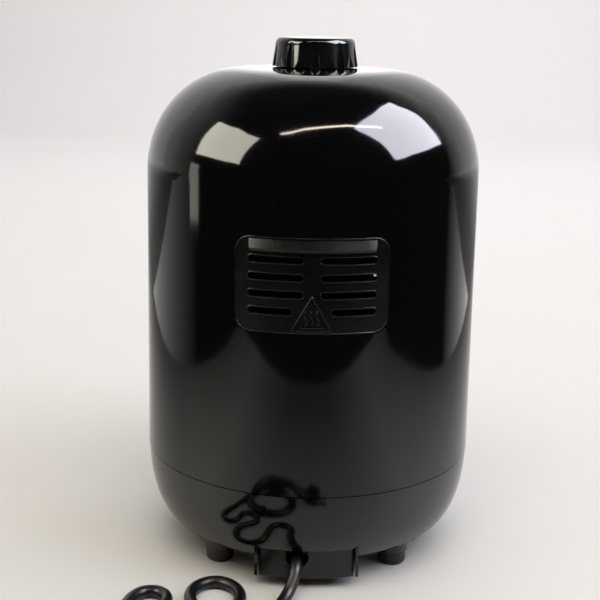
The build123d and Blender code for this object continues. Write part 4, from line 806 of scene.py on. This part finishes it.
def lamp(name, place, aim, size, radiance, colour, diffuse=True, gloss=True):
    """An area light of a stated radiance, so its mirror image keeps its tone at any size."""
    data = bpy.data.lights.new(name, "AREA")
    data.shape = "RECTANGLE"
    data.size, data.size_y = size
    data.energy = radiance * math.pi * size[0] * size[1]
    data.color = linear(colour)[:3]
    made = new_object(name, data)
    made.location = place
    made.rotation_euler = (Vector(aim) - Vector(place)).to_track_quat("-Z", "Y").to_euler()
    made.visible_camera = False
    made.visible_diffuse = diffuse
    made.visible_glossy = gloss
    return made


def toward(origin_mm, azimuth, elevation, distance):
    """A place seen from a point of the body in a direction; azimuth runs from +Y towards +X."""
    a, e = math.radians(azimuth), math.radians(elevation)
    return at(*origin_mm) + distance * Vector((math.sin(a) * math.cos(e), math.cos(a) * math.cos(e),
                                               math.sin(e)))


class AF_OT_stage(bpy.types.Operator):
    """Makes the pale table, the soft studio lights, the surroundings and the camera"""
    bl_idname = "air_fryer.stage"
    bl_label = "Stage"

    def execute(self, context):
        sizes = context.scene.air_fryer_stage
        self.camera(sizes)
        self.table(sizes)
        self.lights()
        self.surroundings()
        return {"FINISHED"}

    def camera(self, sizes):
        data = bpy.data.cameras.new("camera")
        data.lens = sizes.lens
        data.sensor_width = 36.0
        data.clip_start = 0.01
        data.clip_end = 50.0
        made = new_object("camera", data)
        turn = (Matrix.Rotation(math.pi, 4, "Z")
                @ Matrix.Rotation(math.radians(90 - CAMERA_DOWN), 4, "X")
                @ Matrix.Rotation(math.radians(CAMERA_ROLL), 4, "Z"))
        made.matrix_world = Matrix.Translation(at(*CAMERA_PLACE)) @ turn
        bpy.context.scene.camera = made

    def table(self, sizes):
        """A pale sheet: narrow at its front, then wide, curving up into a wall far behind."""
        run = [(TABLE_NECK, 0.0), (TABLE_BACK, 0.0)]
        for k in range(1, SWEEP_STEPS + 1):
            turn = math.radians(90 * k / SWEEP_STEPS)
            run.append((TABLE_BACK - SWEEP_R * math.sin(turn), SWEEP_R * (1 - math.cos(turn))))
        run.append((TABLE_BACK - SWEEP_R, SHEET_TOP))
        form = bmesh.new()
        near = [[form.verts.new((x, y, 0)) for x in (-TABLE_HALF, TABLE_HALF)]
                for y in (TABLE_FRONT, TABLE_NECK)]
        pairs = [[form.verts.new((x, y, z)) for x in (-SHEET_HALF, SHEET_HALF)] for y, z in run]
        for (a, b), (c, d) in [near, *zip(pairs, pairs[1:])]:
            form.faces.new((a, c, d, b))
        table = mesh_object("table_top", form, 60)
        table.data.materials.append(self.sheet_material(sizes))

    def sheet_material(self, sizes):
        """Matt pale laminate, faintly clouded. In mirror rays its colour is painted darker towards its
        front and its sides, a painted shade where the room's dark side begins, and its far wall carries
        a faint painted glow that only mirrors see."""
        base = tuple(sizes.floor_colour)
        material, tree, shader, place = surface("matt_laminated_sheet", "#e2dfd8", 0.6)
        cloud = grain(tree, place, 260.0, detail=3.0)
        unshaded_sheet_colour = blend_colours(tree, spread(tree, cloud, 0, 1),
                              tuple(c * 0.985 for c in base) + (1,), base + (1,))
        parts = add(tree, "ShaderNodeSeparateXYZ", {"Vector": place})
        aside = calc(tree, "ABSOLUTE", parts.outputs["X"])
        ahead = range_map(tree, parts.outputs["Y"], 0.14, 0.46, 0.12, 1.0)
        middle = range_map(tree, aside, 0.10, 0.42, 0.85, 0.25)
        outer = range_map(tree, aside, 0.16, 0.49, 0.0, 0.85)
        # Painted shade: only mirror rays see the sheet's colour darkened towards its front and sides.
        in_mirror = add(tree, "ShaderNodeLightPath").outputs["Is Glossy Ray"]
        shade = calc(tree, "MAXIMUM", calc(tree, "MULTIPLY", ahead, middle), outer)
        shade = calc(tree, "MULTIPLY", shade, in_mirror)
        tree.links.new(blend_colours(tree, shade, unshaded_sheet_colour, (0.03, 0.03, 0.03, 1)),
                       shader.inputs["Base Color"])
        # Painted glow: the far wall emits a little light that only mirror rays see.
        wall = range_map(tree, parts.outputs["Y"], -0.8, -2.6, 0.0, 0.8)
        tree.links.new(calc(tree, "MULTIPLY", wall, in_mirror), shader.inputs["Emission Strength"])
        return material

    def lights(self):
        """Soft lights that only light, then lights that only show in the dome's mirror."""
        aim = at(0, 0, 60)
        lamp("overhead_softbox", (0.0, 0.9, 1.9), aim, (1.8, 1.5), 3.1, "#fffaf2", gloss=False)
        lamp("right_fill", (-1.4, 0.5, 1.3), aim, (1.2, 1.2), 3.9, "#e9eeff", gloss=False)
        lamp("left_fill", (1.4, 0.5, 1.4), aim, (1.2, 1.2), 0.9, "#fff1da", gloss=False)
        lamp("backdrop_light", (-0.5, -0.9, 2.5), (-0.3, -3.0, 1.2), (3.0, 0.8), 12.5, "#f4f4ff",
             gloss=False)
        for name, spot, azimuth, elevation, distance, size, radiance, colour in (
                ("right_softbox", RIGHT_SHOULDER, -82, 42, 1.0, (0.85, 0.8), 14.0, "#f3f4ff"),
                ("left_umbrella", LEFT_SHOULDER, 70, 30, 1.1, (0.75, 0.6), 10.0, "#f2f0dd"),
                ("ceiling_tube", DOME_FRONT, -19, 61, 1.4, (1.6, 0.05), 27.0, "#f1e3cd"),
                ("left_window_gap", LEFT_WALL, 87, -1, 1.1, (0.16, 0.36), 2.4, "#efece0")):
            lamp(name, toward(spot, azimuth, elevation, distance), at(*spot), size, radiance, colour,
                 diffuse=False)

    def surroundings(self):
        """Bright paper behind the appliance, a dark room on the camera's side."""
        world = bpy.data.worlds.new("studio")
        bpy.context.scene.world = world
        world.use_nodes = True
        tree = world.node_tree
        tree.nodes.clear()
        way = add(tree, "ShaderNodeTexCoord").outputs["Generated"]
        parts = add(tree, "ShaderNodeSeparateXYZ", {"Vector": way})
        edge = range_map(tree, parts.outputs["X"], -0.1, 0.1, -0.24, 0.10)
        paper = range_map(tree, parts.outputs["Y"], edge, -1.0, 0.0, 1.0)
        low = range_map(tree, parts.outputs["Z"], 0.62, 0.9, 1.0, 0.04,
                        interpolation_type="SMOOTHSTEP")
        side = range_map(tree, parts.outputs["X"], -0.1, 0.1, 1.0, 0.58)
        share = calc(tree, "MULTIPLY", calc(tree, "MULTIPLY", paper, low), side)
        seen_by_objects = blend_colours(tree, share, ROOM_COLOUR, PAPER_COLOUR)
        camera_ray = add(tree, "ShaderNodeLightPath").outputs["Is Camera Ray"]
        colour = blend_colours(tree, camera_ray, seen_by_objects, linear("#ecebe9"))
        background = add(tree, "ShaderNodeBackground", {"Color": colour, "Strength": 1.0})
        add(tree, "ShaderNodeOutputWorld", {"Surface": background.outputs["Background"]})
        bpy.context.scene.view_settings.view_transform = "Standard"


class AF_PT_panel(bpy.types.Panel):
    """Lists the sizes and the steps that build the air fryer"""
    bl_idname = "AF_PT_panel"
    bl_label = "Air Fryer"
    bl_space_type = "VIEW_3D"
    bl_region_type = "UI"
    bl_category = "Air Fryer"

    def draw(self, context):
        for group in GROUPS:
            box = self.layout.box()
            owner = getattr(context.scene, group)
            for name in GROUPS[group].__annotations__:
                box.prop(owner, name)
        for operator in STEPS:
            self.layout.operator(operator.bl_idname)


GROUPS = {"air_fryer_stage": AF_PG_stage, "air_fryer_lead": AF_PG_lead, "air_fryer_dials": AF_PG_dials,
          "air_fryer_outlet": AF_PG_outlet}
STEPS = (AF_OT_stage, AF_OT_mains_lead, AF_OT_dials, AF_OT_outlet_beads, AF_OT_frame_finishes)


def register():
    for kind in (*GROUPS.values(), *STEPS, AF_PT_panel):
        bpy.utils.register_class(kind)
    for name, kind in GROUPS.items():
        setattr(bpy.types.Scene, name, bpy.props.PointerProperty(type=kind))


def unregister():
    for name in GROUPS:
        delattr(bpy.types.Scene, name)
    for kind in (AF_PT_panel, *reversed(STEPS), *reversed(list(GROUPS.values()))):
        bpy.utils.unregister_class(kind)


def main():
    register()
    for step in STEPS:
        family, action = step.bl_idname.split(".")
        getattr(getattr(bpy.ops, family), action)()


if __name__ == "__main__":
    main()
